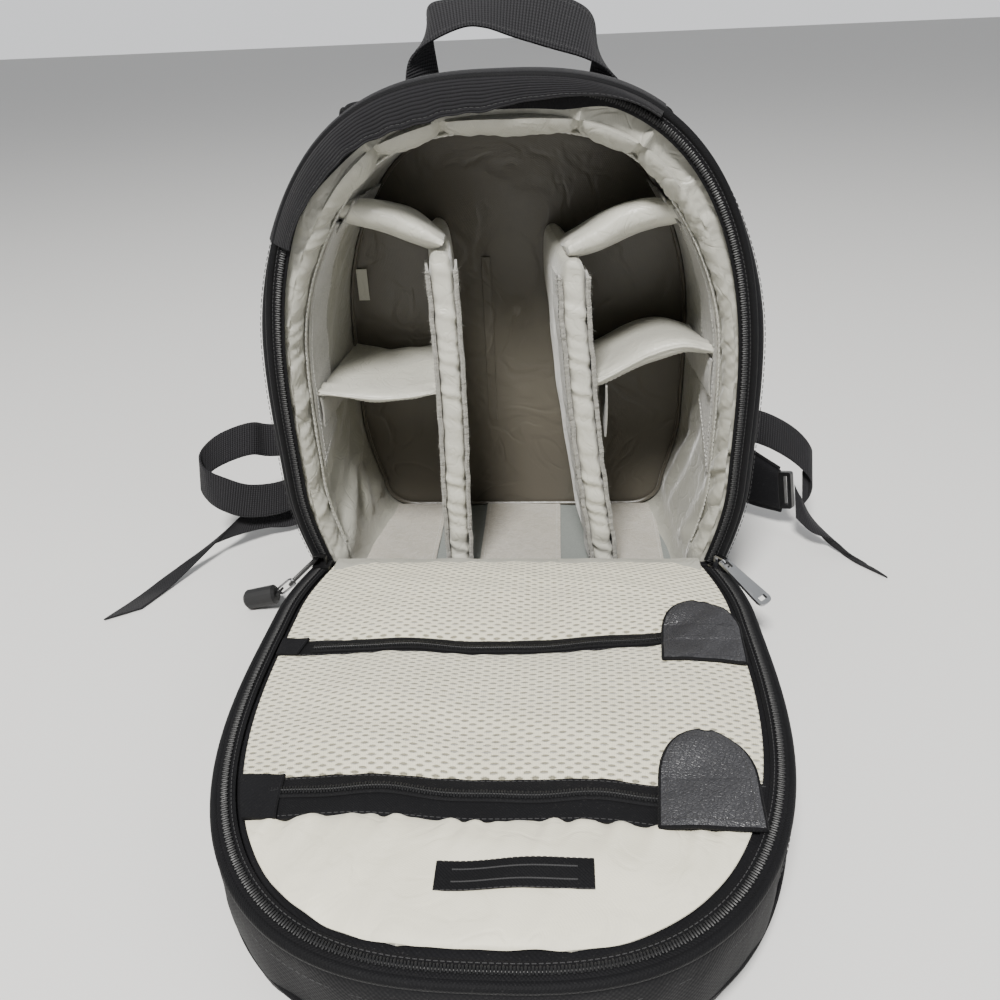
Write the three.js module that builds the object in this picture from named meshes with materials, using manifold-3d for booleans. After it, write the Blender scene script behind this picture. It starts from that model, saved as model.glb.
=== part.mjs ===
// Camera backpack, standing open with its front lid lying forward.
// Millimetres, X to the right, Y to the back, Z up, origin under the middle of the body.
import * as THREE from 'three';
import { mergeVertices } from 'three/addons/utils/BufferGeometryUtils.js';
import Module from 'manifold-3d';

const wasm = await Module();
wasm.setup();

// Mouth of the body, measured along the zip line
const MOUTH_HALF_WIDTH = 140;
const MOUTH_HEIGHT = 290;
const HINGE_HALF_WIDTH = 129.4;
const HINGE_HEIGHT = 42;
const SIDE_RISE = 60;
const ARCH_START = 89.3;
const ARCH_POWER_ACROSS = 2.75;
const ARCH_POWER_UP = 2.635;
const BOTTOM_CORNER = 25;
const LINING_CORNER = 6;

// Body
const BODY_DEPTH = 141;
const FRONT_Y = -66;
const SIDE_BULGE = 12;
const CROWN_BULGE = 5;
const CROWN_START = 150;
const CROWN_END = 255;
const CROWN_FALL = 6;
const SHELL_WALL = 2;
const BACK_PADDING = 23;
const FLOOR_TOP = 20;
const WALL_PADDING_FRONT = 12.5;
const WALL_PADDING_BACK = 20;
const CEILING_ROLL = 22;
const LOOP_THICKNESS = 1.5;
const SEAT_GAP = 0.5;

// Zips
const ZIP_WIDTH = 6;
const ZIP_THICKNESS = 1.7;
const ZIP_START = 18;
const FLAP_THICKNESS = 1.6;

// Dividers
const DIVIDER_THICKNESS = 13;
const DIVIDER_FRONT = 8;
const SHELF_THICKNESS = 12;
const SHELF_SETBACK = 6;

// Lid
const LID_RISE = 17;
const LID_STRETCH = 1.008;
const LID_BULGE = 9;
const LID_PAD_THICKNESS = 10;
const LID_PAD_SINK = 1.2;
const POCKET_INSET = 9;
const POCKET_THICKNESS = 1.6;
const POCKET_BULGE = 6.5;
const UPPER_POCKET_START = 14;
const UPPER_ZIP_START = 90;
const LOWER_ZIP_START = 196;
const UPPER_ZIP_WIDTH = 13;
const LOWER_ZIP_WIDTH = 24;
const SATIN_BULGE = 4;
const PATCH_THICKNESS = 1.8;
const PATCH_HALF_WIDTH = 22;
const PATCH_LENGTH = 57;
const PATCH_CENTRE_X = 108;
const LABEL_LENGTH = 64;
const LABEL_WIDTH = 13;

// Webbing, handle and straps
const WEBBING_WIDTH = 25;
const WEBBING_THICKNESS = 1.6;
const HANDLE_HALF_SPAN = 67;
const HANDLE_RISE = 42;
const HANDLE_FRONT_Y = 40;
const HANDLE_BACK_Y = 58;
const STRAP_WIDTH = 52;
const STRAP_THICKNESS = 10;
const STRAP_END_LENGTH = 9;
const STRAP_END_THICKNESS = 6;

// Zip pulls
const SLIDER_WIDTH = 9;
const SLIDER_THICKNESS = 2.8;
const BRIDGE_WIDTH = 3;
const PIVOT_LIFT = 8.9;
const TAB_THICKNESS = 1.8;
const LEFT_TAB_LENGTH = 32;
const LEFT_TAB_WIDTH = 9;
const RIGHT_TAB_LENGTH = 38;
const RIGHT_TAB_WIDTH = 12;
const WIRE_RADIUS = 0.8;
const BARREL_RADIUS = 7;
const BARREL_LENGTH = 24;
const LUG_REACH = 3.8;

const BACK_Y = FRONT_Y + BODY_DEPTH;
const PADDING_FRONT_Y = FRONT_Y + 5.4;
const PADDING_BACK_Y = BACK_Y - SHELL_WALL - BACK_PADDING - 0.2;
const CROWN_HEIGHT = HINGE_HEIGHT + MOUTH_HEIGHT;

const BLACK_FABRIC = new THREE.MeshStandardMaterial({ color: 0x1d1d20, roughness: 0.85 });
const GREY_SATIN = new THREE.MeshStandardMaterial({ color: 0xb9bab4, roughness: 0.55 });
const DARK_LINING = new THREE.MeshStandardMaterial({ color: 0x4a4744, roughness: 0.5 });
const LOOP_FABRIC = new THREE.MeshStandardMaterial({ color: 0x9c9b96, roughness: 1 });
const AIR_MESH = new THREE.MeshStandardMaterial({ color: 0xdcdccf, roughness: 0.8 });
const CREAM_SATIN = new THREE.MeshStandardMaterial({ color: 0xd5d4c8, roughness: 0.5 });
const LEATHER = new THREE.MeshStandardMaterial({ color: 0x4a4a4f, roughness: 0.45 });
const WEBBING = new THREE.MeshStandardMaterial({ color: 0x2e2d30, roughness: 0.8 });
const BLACK_PLASTIC = new THREE.MeshStandardMaterial({ color: 0x161618, roughness: 0.4 });
const RUBBER = new THREE.MeshStandardMaterial({ color: 0x1b1b1c, roughness: 0.7 });
const DARK_CHROME = new THREE.MeshStandardMaterial({ color: 0x55565a, roughness: 0.2, metalness: 1 });
const GREY_METAL = new THREE.MeshStandardMaterial({ color: 0xa2a3a6, roughness: 0.35, metalness: 1 });

// Outline of the mouth

// A point of the right half of the zip line: the side widens as a sine, the arch is a superellipse.
function halfOutline() {
  const points = [];
  const steps = 200;
  for (let k = 0; k < steps; k += 1) {
    const up = ARCH_START * k / steps;
    const widening = Math.sin(Math.min(up / SIDE_RISE, 1) * Math.PI / 2);
    points.push(new THREE.Vector2(
      HINGE_HALF_WIDTH + (MOUTH_HALF_WIDTH - HINGE_HALF_WIDTH) * widening, up));
  }
  for (let k = 0; k <= steps; k += 1) {
    const angle = Math.PI / 2 * k / steps;
    points.push(new THREE.Vector2(
      MOUTH_HALF_WIDTH * Math.max(Math.cos(angle), 0) ** (2 / ARCH_POWER_ACROSS),
      ARCH_START + (MOUTH_HEIGHT - ARCH_START) * Math.sin(angle) ** (2 / ARCH_POWER_UP)));
  }
  return points;
}

// Equal steps along a line of points, with the outward normal of each.
function resample(points, steps) {
  const lengths = [0];
  for (let k = 1; k < points.length; k += 1) {
    lengths.push(lengths[k - 1] + points[k].distanceTo(points[k - 1]));
  }
  const total = lengths[lengths.length - 1];
  const samples = [];
  let k = 1;
  for (let j = 0; j <= steps; j += 1) {
    const at = total * j / steps;
    while (k < points.length - 1 && lengths[k] < at) k += 1;
    const share = (at - lengths[k - 1]) / Math.max(lengths[k] - lengths[k - 1], 1e-9);
    const place = points[k - 1].clone().lerp(points[k], share);
    const along = points[k].clone().sub(points[k - 1]).normalize();
    samples.push({ x: place.x, up: place.y, nx: along.y, nup: -along.x });
  }
  Object.assign(samples[0], { nx: 1, nup: 0 });
  Object.assign(samples[steps], { x: 0, nx: 0, nup: 1 });
  return samples;
}

const HALF_STEPS = 20;
const CORNER_STEPS = 4;
const STRAIGHT_STEPS = 6;
const LOWER_STEPS = 2 * CORNER_STEPS + STRAIGHT_STEPS;
const UPPER_STEPS = 2 * HALF_STEPS;
const RING_STEPS = UPPER_STEPS + LOWER_STEPS;
const DENSE_OUTLINE = halfOutline();
const RIGHT_HALF = resample(DENSE_OUTLINE, HALF_STEPS);

// Round the ring: up the right side, over the crown, down the left side and back under the body.
function ringSample(index) {
  const k = ((index % RING_STEPS) + RING_STEPS) % RING_STEPS;
  if (k <= HALF_STEPS) return RIGHT_HALF[k];
  if (k <= UPPER_STEPS) {
    const right = RIGHT_HALF[UPPER_STEPS - k];
    return { x: -right.x, up: right.up, nx: -right.nx, nup: right.nup };
  }
  const lower = k - UPPER_STEPS;
  const fromEnd = Math.min(lower, LOWER_STEPS - lower);
  const side = lower < LOWER_STEPS / 2 ? -1 : 1;
  if (fromEnd <= CORNER_STEPS) return { side, turn: fromEnd / CORNER_STEPS * Math.PI / 2 };
  const inward = (fromEnd - CORNER_STEPS) / (STRAIGHT_STEPS / 2);
  return { side, turn: Math.PI / 2, inward };
}

function smoothShare(value, from, to) {
  const share = Math.min(Math.max((value - from) / (to - from), 0), 1);
  return share * share * (3 - 2 * share);
}

// Half width and height of the under part of a ring that reaches down to its floor.
function lowerShape(sample, halfWidth, corner = BOTTOM_CORNER) {
  const edge = halfWidth - corner * (1 - Math.cos(sample.turn));
  const across = edge * (1 - (sample.inward ?? 0));
  return { x: sample.side * across, down: Math.sin(sample.turn) };
}

// A point on the body at a whole ring index, for one section row.
function bodyAt(index, row) {
  const sample = ringSample(index);
  if (sample.turn !== undefined) {
    const lower = lowerShape(sample, HINGE_HALF_WIDTH + row.side, row.corner);
    return new THREE.Vector3(lower.x, row.y, HINGE_HEIGHT - (HINGE_HEIGHT - row.floor) * lower.down);
  }
  const crown = smoothShare(sample.up, CROWN_START, CROWN_END);
  const offset = row.side + (row.crown - row.side) * crown;
  const fall = CROWN_FALL * (row.y - FRONT_Y) / BODY_DEPTH * sample.up / MOUTH_HEIGHT;
  return new THREE.Vector3(
    sample.x + sample.nx * offset, row.y, HINGE_HEIGHT + sample.up + sample.nup * offset - fall);
}

function lidHeight(along) {
  return HINGE_HEIGHT + LID_RISE * along / MOUTH_HEIGHT;
}

// A point on the lid at a whole ring index: depth 0 is the zip plane and depth 1 the table.
function lidAt(index, row) {
  const sample = ringSample(index);
  let x = 0;
  let along = row.start;
  if (sample.turn !== undefined) {
    x = lowerShape(sample, HINGE_HALF_WIDTH + row.side).x;
  } else {
    x = sample.x + sample.nx * row.side;
    const reach = sample.up + sample.nup * row.side;
    along = row.start + reach * (MOUTH_HEIGHT - row.start) / MOUTH_HEIGHT;
  }
  const z = lidHeight(along) * (1 - row.depth) + (row.lift ?? 0);
  return new THREE.Vector3(x, FRONT_Y + 1 - along * LID_STRETCH, z);
}

function between(pointAt, position, row) {
  const low = Math.floor(position);
  return pointAt(low, row).lerp(pointAt(low + 1, row), position - low);
}

// The ring position on the right side at a height above the hinge.
function positionAt(up) {
  for (let k = 0; k < HALF_STEPS; k += 1) {
    if (RIGHT_HALF[k + 1].up >= up) {
      return k + (up - RIGHT_HALF[k].up) / (RIGHT_HALF[k + 1].up - RIGHT_HALF[k].up);
    }
  }
  return HALF_STEPS;
}

// Positions from one to another that stop at every whole ring index between them.
function stops(from, to) {
  const list = [from];
  for (let k = Math.floor(from) + 1; k < to - 0.001; k += 1) list.push(k);
  list.push(to);
  return list;
}

// Half width of the mouth moved inwards, at a distance from the hinge.
function insetHalfWidth(along, inset) {
  let best = 0;
  let before = null;
  for (let k = 1; k < DENSE_OUTLINE.length; k += 1) {
    const step = DENSE_OUTLINE[k].clone().sub(DENSE_OUTLINE[k - 1]).normalize();
    const point = new THREE.Vector2(
      DENSE_OUTLINE[k].x - step.y * inset, DENSE_OUTLINE[k].y + step.x * inset);
    if (before && before.y <= along && point.y > along) {
      best = before.x + (point.x - before.x) * (along - before.y) / (point.y - before.y);
    }
    before = point;
  }
  if (along <= 0) best = HINGE_HALF_WIDTH - inset;
  return Math.max(best, 0);
}

// Meshes

// Triangles that close a nearly flat ring, turned the way that the ring runs.
function capFaces(ring) {
  const normal = new THREE.Vector3();
  ring.forEach((point, k) => {
    normal.add(point.clone().sub(ring[0]).cross(ring[(k + 1) % ring.length].clone().sub(ring[0])));
  });
  normal.normalize();
  const across = ring[1].clone().sub(ring[0]);
  across.addScaledVector(normal, -across.dot(normal)).normalize();
  const upward = normal.clone().cross(across);
  const flat = ring.map((point) => new THREE.Vector2(point.dot(across), point.dot(upward)));
  return THREE.ShapeUtils.triangulateShape(flat, []);
}

// Closed body through rings of equally many points, its ends capped or joined to each other.
function loft(rings, joined = false) {
  const count = rings[0].length;
  const vertices = rings.flat();
  const faces = [];
  const last = joined ? rings.length : rings.length - 1;
  for (let j = 0; j < last; j += 1) {
    const next = (j + 1) % rings.length;
    for (let k = 0; k < count; k += 1) {
      const a = j * count + k;
      const b = j * count + (k + 1) % count;
      const c = next * count + (k + 1) % count;
      const d = next * count + k;
      faces.push([a, b, c], [a, c, d]);
    }
  }
  if (!joined) {
    for (const [ring, turned] of [[0, true], [rings.length - 1, false]]) {
      for (const [a, b, c] of capFaces(rings[ring])) {
        const cap = [ring * count + a, ring * count + b, ring * count + c];
        faces.push(turned ? cap.reverse() : cap);
      }
    }
  }
  let volume = 0;
  for (const [a, b, c] of faces) {
    volume += vertices[a].dot(vertices[b].clone().cross(vertices[c]));
  }
  if (volume < 0) faces.forEach((face) => face.reverse());
  const geometry = new THREE.BufferGeometry();
  geometry.setAttribute('position', new THREE.Float32BufferAttribute(
    vertices.flatMap((v) => [v.x, v.y, v.z]), 3));
  geometry.setIndex(faces.flat());
  return geometry;
}

function asSolid(geometry) {
  const bare = geometry.clone();
  bare.deleteAttribute('normal');
  bare.deleteAttribute('uv');
  const merged = mergeVertices(bare, 1e-4);
  return new wasm.Manifold(new wasm.Mesh({
    numProp: 3,
    vertProperties: new Float32Array(merged.attributes.position.array),
    triVerts: new Uint32Array(merged.index.array),
  }));
}

function join(geometries) {
  const solid = geometries.map(asSolid).reduce((sum, next) => sum.add(next));
  const mesh = solid.getMesh();
  const geometry = new THREE.BufferGeometry();
  geometry.setAttribute('position', new THREE.Float32BufferAttribute(mesh.vertProperties, 3));
  geometry.setIndex(Array.from(mesh.triVerts));
  return geometry;
}

const group = new THREE.Group();

function add(name, geometry, material) {
  const mesh = new THREE.Mesh(geometry, material);
  mesh.name = name;
  group.add(mesh);
}

// Band along the ring whose section is a closed list of rows.
function band(pointAt, positions, rows) {
  return loft(positions.map((p) => rows.map((row) => between(pointAt, p, row))));
}

// Rings of a whole outline, one for each row.
function rings(pointAt, rows) {
  return rows.map((row) => Array.from({ length: RING_STEPS }, (_, k) => pointAt(k, row)));
}

// Strap with square edges between two edge lines.
function ribbon(frontEdge, backEdge, thickness) {
  const sections = frontEdge.map((front, k) => {
    const back = backEdge[k];
    const before = Math.max(k - 1, 0);
    const after = Math.min(k + 1, frontEdge.length - 1);
    const along = frontEdge[after].clone().add(backEdge[after])
      .sub(frontEdge[before]).sub(backEdge[before]);
    const normal = along.cross(back.clone().sub(front)).normalize().multiplyScalar(thickness / 2);
    return [front.clone().add(normal), back.clone().add(normal),
      back.clone().sub(normal), front.clone().sub(normal)];
  });
  return loft(sections);
}

function smoothLine(points, steps) {
  return new THREE.CatmullRomCurve3(points, false, 'centripetal').getSpacedPoints(steps);
}

// Body shell

const SHELL_SECTIONS = [
  { depth: 0, bulge: 0.17, crown: 0.3, floor: 1 },
  { depth: 0.022, bulge: 0.75, crown: 1, floor: 0 },
  { depth: 0.12, bulge: 0.92, crown: 1, floor: 0 },
  { depth: 0.38, bulge: 1, crown: 1, floor: 0 },
  { depth: 0.7, bulge: 1, crown: 0.8, floor: 0 },
  { depth: 0.88, bulge: 0.75, crown: 0.3, floor: 0 },
  { depth: 0.965, bulge: 0.08, crown: -1, floor: 0.08 },
  { depth: 1, bulge: -1, crown: -3.5, floor: 0.4 },
];

function shellRow(section, inward) {
  return {
    y: FRONT_Y + BODY_DEPTH * section.depth + inward * (1 - 2 * section.depth),
    side: SIDE_BULGE * section.bulge - inward,
    crown: CROWN_BULGE * section.crown - inward,
    floor: section.floor === 1 ? HINGE_HEIGHT : HINGE_HEIGHT * section.floor + inward,
  };
}

// A row of the shell's surface at any depth, moved inwards.
function shellRowAt(y, inward) {
  const rows = SHELL_SECTIONS.map((section) => shellRow(section, inward));
  let k = 1;
  while (k < rows.length - 1 && rows[k].y < y) k += 1;
  const share = (y - rows[k - 1].y) / (rows[k].y - rows[k - 1].y);
  const mix = (name) => rows[k - 1][name] + (rows[k][name] - rows[k - 1][name]) * share;
  return { y, side: mix('side'), crown: mix('crown'), floor: mix('floor') };
}

function addShell() {
  const outer = SHELL_SECTIONS.map((section) => shellRow(section, 0)).reverse();
  const inner = SHELL_SECTIONS.map((section) => shellRow(section, SHELL_WALL));
  add('outer_shell', loft(rings(bodyAt, [...outer, ...inner])), BLACK_FABRIC);
}

// Lining

// Outer edge of the padding, which follows the inside of the shell.
function paddingOuterRows() {
  const inward = SHELL_WALL + SEAT_GAP;
  const depths = [PADDING_FRONT_Y + 2.6, -48, -12, 32];
  const rows = depths.map((y) => shellRowAt(y, inward));
  const last = shellRowAt(PADDING_BACK_Y - SEAT_GAP, inward + 0.3);
  const lip = { y: PADDING_FRONT_Y, side: -1.2, crown: -1.2, floor: FLOOR_TOP / 2 };
  return [lip, ...rows, last];
}

function liningRow(share, extra = 0) {
  const side = -(WALL_PADDING_FRONT + (WALL_PADDING_BACK - WALL_PADDING_FRONT) * share);
  const crown = -(CEILING_ROLL + 2 * share);
  const y = PADDING_FRONT_Y + 3 + (PADDING_BACK_Y - SEAT_GAP - PADDING_FRONT_Y - 3) * share;
  return { y, side: side - extra, crown: crown - extra, floor: FLOOR_TOP + extra, corner: LINING_CORNER };
}

const WALL_FOOT = CORNER_STEPS - 1;

function addPadding() {
  const front = { y: PADDING_FRONT_Y, side: -WALL_PADDING_FRONT * 0.7,
    crown: -CEILING_ROLL * 0.75, floor: FLOOR_TOP * 0.9, corner: LINING_CORNER };
  const inner = [liningRow(1), liningRow(0.5), liningRow(0.15), liningRow(0), front];
  const rows = [...paddingOuterRows(), ...inner];
  const seam = 0.5;
  const wall = stops(-WALL_FOOT, UPPER_STEPS + WALL_FOOT);
  const floor = stops(UPPER_STEPS + WALL_FOOT + seam, RING_STEPS - WALL_FOOT - seam);
  add('wall_padding', band(bodyAt, wall, rows), GREY_SATIN);
  add('floor_padding', band(bodyAt, floor, rows), GREY_SATIN);
}

function addBackPadding() {
  const inward = SHELL_WALL + SEAT_GAP;
  const rows = [PADDING_BACK_Y, PADDING_BACK_Y + 7, BACK_Y - 8, BACK_Y - SHELL_WALL - 0.8]
    .map((y) => {
      const row = shellRowAt(y, inward);
      return { y, side: row.side - 0.9, crown: row.crown - 0.9, floor: row.floor + 0.9 };
    });
  add('back_padding', loft(rings(bodyAt, rows)), DARK_LINING);
}

// Loop panels lie on the lining: rows of shares along the depth, positions round the ring.
const WALL_LOOPS = [
  { name: 'wall_loop_right', low: 78, high: 238, front: 0.14, back: 0.42, mirrored: false },
  { name: 'wall_loop_left', low: 72, high: 232, front: 0.14, back: 0.42, mirrored: true },
];

function addWallLoops() {
  for (const loop of WALL_LOOPS) {
    const near = liningRow(loop.front, SEAT_GAP);
    const far = liningRow(loop.back, SEAT_GAP);
    const top = (row) => ({ ...row, side: row.side - LOOP_THICKNESS, crown: row.crown - LOOP_THICKNESS });
    const right = stops(positionAt(loop.low), positionAt(loop.high));
    const positions = loop.mirrored ? right.map((p) => UPPER_STEPS - p).reverse() : right;
    add(loop.name, band(bodyAt, positions, [near, far, top(far), top(near)]), LOOP_FABRIC);
  }
}

const FLOOR_LOOPS = [
  { name: 'floor_loop_left', from: -0.78, to: -0.44 },
  { name: 'floor_loop_centre', from: -0.21, to: 0.21 },
  { name: 'floor_loop_right', from: 0.54, to: 0.78 },
];

function addFloorLoops() {
  const low = FLOOR_TOP + SEAT_GAP;
  const y = [PADDING_FRONT_Y + 6, PADDING_BACK_Y - 6];
  for (const loop of FLOOR_LOOPS) {
    const x = [loop.from * HINGE_HALF_WIDTH, loop.to * HINGE_HALF_WIDTH];
    const panel = new THREE.BoxGeometry(x[1] - x[0], y[1] - y[0], LOOP_THICKNESS);
    panel.translate((x[0] + x[1]) / 2, (y[0] + y[1]) / 2, low + LOOP_THICKNESS / 2);
    add(loop.name, panel, LOOP_FABRIC);
  }
}

// Dividers

// Padded board: rounded sections along a line, thinner at both ends. The slant leads the front of
// its first end along the wall.
function board(centres, thickDirections, halfDepth, halfThickness, slant = 0) {
  const sides = 12;
  const flatness = 0.45;
  const reach = halfDepth / Math.cos(Math.PI / sides) ** flatness;
  const sections = centres.map((centre, j) => {
    const edge = j === 0 || j === centres.length - 1 ? 0.5 : 1;
    const lead = slant * Math.max(1 - j / 2, 0);
    return Array.from({ length: sides }, (_, k) => {
      const angle = 2 * Math.PI * (k + 0.5) / sides;
      const depth = Math.sign(Math.cos(angle)) * Math.abs(Math.cos(angle)) ** flatness * reach;
      const thick = Math.sin(angle) * halfThickness * edge;
      return centre.clone().add(new THREE.Vector3(-lead * depth, depth, 0))
        .addScaledVector(thickDirections[j], thick);
    });
  });
  return loft(sections);
}

// Shares of the height of the board, with its distance from the middle as a share of the half width.
const LONG_DIVIDERS = [
  {
    name: 'divider_long_left', side: -1, top: 0.7,
    across: [0.285, 0.282, 0.28, 0.272, 0.268, 0.268, 0.27, 0.275],
  },
  {
    name: 'divider_long_right', side: 1, top: 0.68,
    across: [0.435, 0.41, 0.375, 0.345, 0.32, 0.3, 0.28, 0.272],
  },
];

const DIVIDER_DEPTH = PADDING_BACK_Y - PADDING_FRONT_Y - DIVIDER_FRONT;
const DIVIDER_MIDDLE = (PADDING_BACK_Y + PADDING_FRONT_Y + DIVIDER_FRONT) / 2;

function longDividerX(divider, z) {
  const low = FLOOR_TOP;
  const high = HINGE_HEIGHT + divider.top * MOUTH_HEIGHT;
  const place = Math.min(Math.max((z - low) / (high - low), 0), 0.9999) * (divider.across.length - 1);
  const k = Math.floor(place);
  const share = divider.across[k] + (divider.across[k + 1] - divider.across[k]) * (place - k);
  return divider.side * share * MOUTH_HALF_WIDTH;
}

function addLongDividers() {
  for (const divider of LONG_DIVIDERS) {
    const low = FLOOR_TOP + LOOP_THICKNESS + 2 * SEAT_GAP;
    const high = HINGE_HEIGHT + divider.top * MOUTH_HEIGHT;
    const steps = divider.across.length;
    const centres = Array.from({ length: steps + 1 }, (_, k) => {
      const z = low + (high - low) * k / steps;
      return new THREE.Vector3(longDividerX(divider, z), DIVIDER_MIDDLE, z);
    });
    const across = centres.map(() => new THREE.Vector3(1, 0, 0));
    add(divider.name,
      board(centres, across, DIVIDER_DEPTH / 2 - SEAT_GAP, DIVIDER_THICKNESS / 2), GREY_SATIN);
  }
}

// Heights of a shelf from the wall to the middle divider, as shares of the mouth's height.
const SHELVES = [
  { name: 'divider_top_left', divider: 0, heights: [0.772, 0.768, 0.752, 0.73, 0.706], over: true },
  { name: 'divider_top_right', divider: 1, heights: [0.752, 0.745, 0.728, 0.705, 0.684], over: true },
  { name: 'divider_mid_left', divider: 0, heights: [0.398, 0.392, 0.386, 0.39, 0.402], over: false },
  { name: 'divider_mid_right', divider: 1, heights: [0.478, 0.482, 0.466, 0.438, 0.412], over: false },
];

// Half width of the room inside the lining at a height and a share of its depth.
function liningHalfWidth(z, depth) {
  const row = liningRow(depth);
  let best = HINGE_HALF_WIDTH + row.side;
  for (let k = 0; k < HALF_STEPS; k += 1) {
    const low = bodyAt(k, row);
    const high = bodyAt(k + 1, row);
    if (low.z <= z && high.z > z) best = low.x + (high.x - low.x) * (z - low.z) / (high.z - low.z);
  }
  return best;
}

function addShelves() {
  for (const shelf of SHELVES) {
    const divider = LONG_DIVIDERS[shelf.divider];
    const steps = shelf.heights.length - 1;
    const wallZ = HINGE_HEIGHT + shelf.heights[0] * MOUTH_HEIGHT;
    const innerZ = HINGE_HEIGHT + shelf.heights[steps] * MOUTH_HEIGHT;
    const clear = DIVIDER_THICKNESS / 2 + SEAT_GAP;
    const innerX = longDividerX(divider, innerZ) + divider.side * (shelf.over ? -4 : clear);
    const lift = shelf.over ? SHELF_THICKNESS / 2 + 1 : 0;
    const touchZ = wallZ + lift + SHELF_THICKNESS / 3;
    const room = [0.08, 0.95].map((depth) => liningHalfWidth(touchZ, depth) - LOOP_THICKNESS - 2);
    const wallX = divider.side * (room[0] + room[1]) / 2;
    const slant = divider.side * (room[0] - room[1]) / (DIVIDER_DEPTH - SHELF_SETBACK);
    const centres = shelf.heights.map((share, k) => new THREE.Vector3(
      wallX + (innerX - wallX) * k / steps, DIVIDER_MIDDLE + SHELF_SETBACK / 2,
      HINGE_HEIGHT + share * MOUTH_HEIGHT + lift));
    const up = centres.map(() => new THREE.Vector3(0, 0, 1));
    add(shelf.name, board(centres, up, (DIVIDER_DEPTH - SHELF_SETBACK) / 2 - SEAT_GAP,
      SHELF_THICKNESS / 2, slant), GREY_SATIN);
  }
}

// Zips and flap

function addBodyZip() {
  const front = FRONT_Y - 0.3 - ZIP_THICKNESS;
  const back = FRONT_Y - 0.3;
  const out = 1.5;
  const rows = [[front, out], [front, out - ZIP_WIDTH], [back, out - ZIP_WIDTH], [back, out]]
    .map(([y, side]) => ({ y, side, crown: side, floor: 0 }));
  const start = positionAt(ZIP_START);
  add('zip_body', band(bodyAt, stops(start, UPPER_STEPS - start), rows), BLACK_FABRIC);
}

function addRainFlap() {
  const clear = 0.5;
  const lie = FRONT_Y - 0.3 - ZIP_THICKNESS - clear;
  const edge = shellRow(SHELL_SECTIONS[1], 0);
  const rows = [
    { y: edge.y - 0.5, side: edge.side + clear, crown: edge.crown + clear },
    { y: lie, side: edge.side - 2, crown: edge.crown - 1.5 },
    { y: lie, side: -3.5, crown: -4.5 },
    { y: lie - FLAP_THICKNESS, side: -3.5, crown: -4.5 },
    { y: lie - FLAP_THICKNESS, side: edge.side - 1, crown: edge.crown - 0.5 },
    { y: edge.y - 1, side: edge.side + clear + FLAP_THICKNESS, crown: edge.crown + clear + FLAP_THICKNESS },
  ];
  const right = positionAt(MOUTH_HEIGHT * 0.93);
  const left = UPPER_STEPS - positionAt(MOUTH_HEIGHT * 0.78);
  add('rain_flap', band(bodyAt, stops(right, left), rows), BLACK_FABRIC);
}

// Lid

const LID_SECTIONS = [
  { side: 0.22, start: 2, depth: 0 },
  { side: 0.78, start: 2, depth: 0.07 },
  { side: 1, start: 3, depth: 0.35 },
  { side: 0.9, start: 5, depth: 0.72 },
  { side: 0.2, start: 10, depth: 0.93 },
  { side: -1.1, start: 22, depth: 1 },
];

function lidRow(section, inward) {
  return {
    side: LID_BULGE * section.side - inward,
    start: section.start + inward,
    depth: section.depth,
    lift: section.depth === 0 ? 0 : inward * section.depth,
  };
}

function addLidShell() {
  const outer = LID_SECTIONS.map((section) => lidRow(section, 0)).reverse();
  const inner = LID_SECTIONS.map((section) => lidRow(section, SHELL_WALL));
  add('lid_shell', loft(rings(lidAt, [...outer, ...inner])), BLACK_FABRIC);
}

function addLidPad() {
  const edge = lidRow(LID_SECTIONS[0], SHELL_WALL);
  const rows = [
    { side: edge.side - SEAT_GAP, start: edge.start + SEAT_GAP, depth: 0, lift: -LID_PAD_SINK },
    { side: edge.side + 0.5, start: edge.start + 1.5, depth: 0, lift: -LID_PAD_SINK - 4 },
    { side: edge.side - 0.5, start: edge.start + 2.5, depth: 0, lift: -LID_PAD_SINK - LID_PAD_THICKNESS },
  ];
  add('lid_pad', loft(rings(lidAt, rows)), BLACK_FABRIC);
}

function addLidZip() {
  const lift = [0.3, 0.3 + ZIP_THICKNESS];
  const rows = [[1.5, lift[0]], [1.5 - ZIP_WIDTH, lift[0]], [1.5 - ZIP_WIDTH, lift[1]], [1.5, lift[1]]]
    .map(([side, height]) => ({ side, start: 2, depth: 0, lift: height }));
  const start = positionAt(ZIP_START);
  add('zip_lid', band(lidAt, stops(start, UPPER_STEPS - start), rows), BLACK_FABRIC);
}

function addHingeStrip() {
  const half = HINGE_HALF_WIDTH - 8;
  const y = [FRONT_Y - 9, FRONT_Y + 0.9];
  const strip = new THREE.BoxGeometry(2 * half, y[1] - y[0], 1.5);
  strip.translate(0, (y[0] + y[1]) / 2, HINGE_HEIGHT + 0.5 + 0.75);
  add('hinge_strip', strip, GREY_SATIN);
}

// Panels on the lid: height above the zip plane at a place, by the panel that lies there.
const LID_PANELS = [
  { name: 'mesh_pocket_upper', from: UPPER_POCKET_START, to: UPPER_ZIP_START, bulge: POCKET_BULGE,
    steps: 7, material: AIR_MESH },
  { name: 'pocket_zip_upper', from: UPPER_ZIP_START, to: UPPER_ZIP_START + UPPER_ZIP_WIDTH, bulge: 1,
    steps: 2, material: BLACK_FABRIC },
  { name: 'mesh_pocket_lower', from: UPPER_ZIP_START + UPPER_ZIP_WIDTH, to: LOWER_ZIP_START,
    bulge: POCKET_BULGE, steps: 8, material: AIR_MESH },
  { name: 'pocket_zip_lower', from: LOWER_ZIP_START, to: LOWER_ZIP_START + LOWER_ZIP_WIDTH, bulge: 1,
    steps: 2, material: BLACK_FABRIC },
  { name: 'satin_panel', from: LOWER_ZIP_START + LOWER_ZIP_WIDTH, to: MOUTH_HEIGHT - POCKET_INSET - 2,
    bulge: SATIN_BULGE, steps: 8, material: CREAM_SATIN },
];

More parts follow.
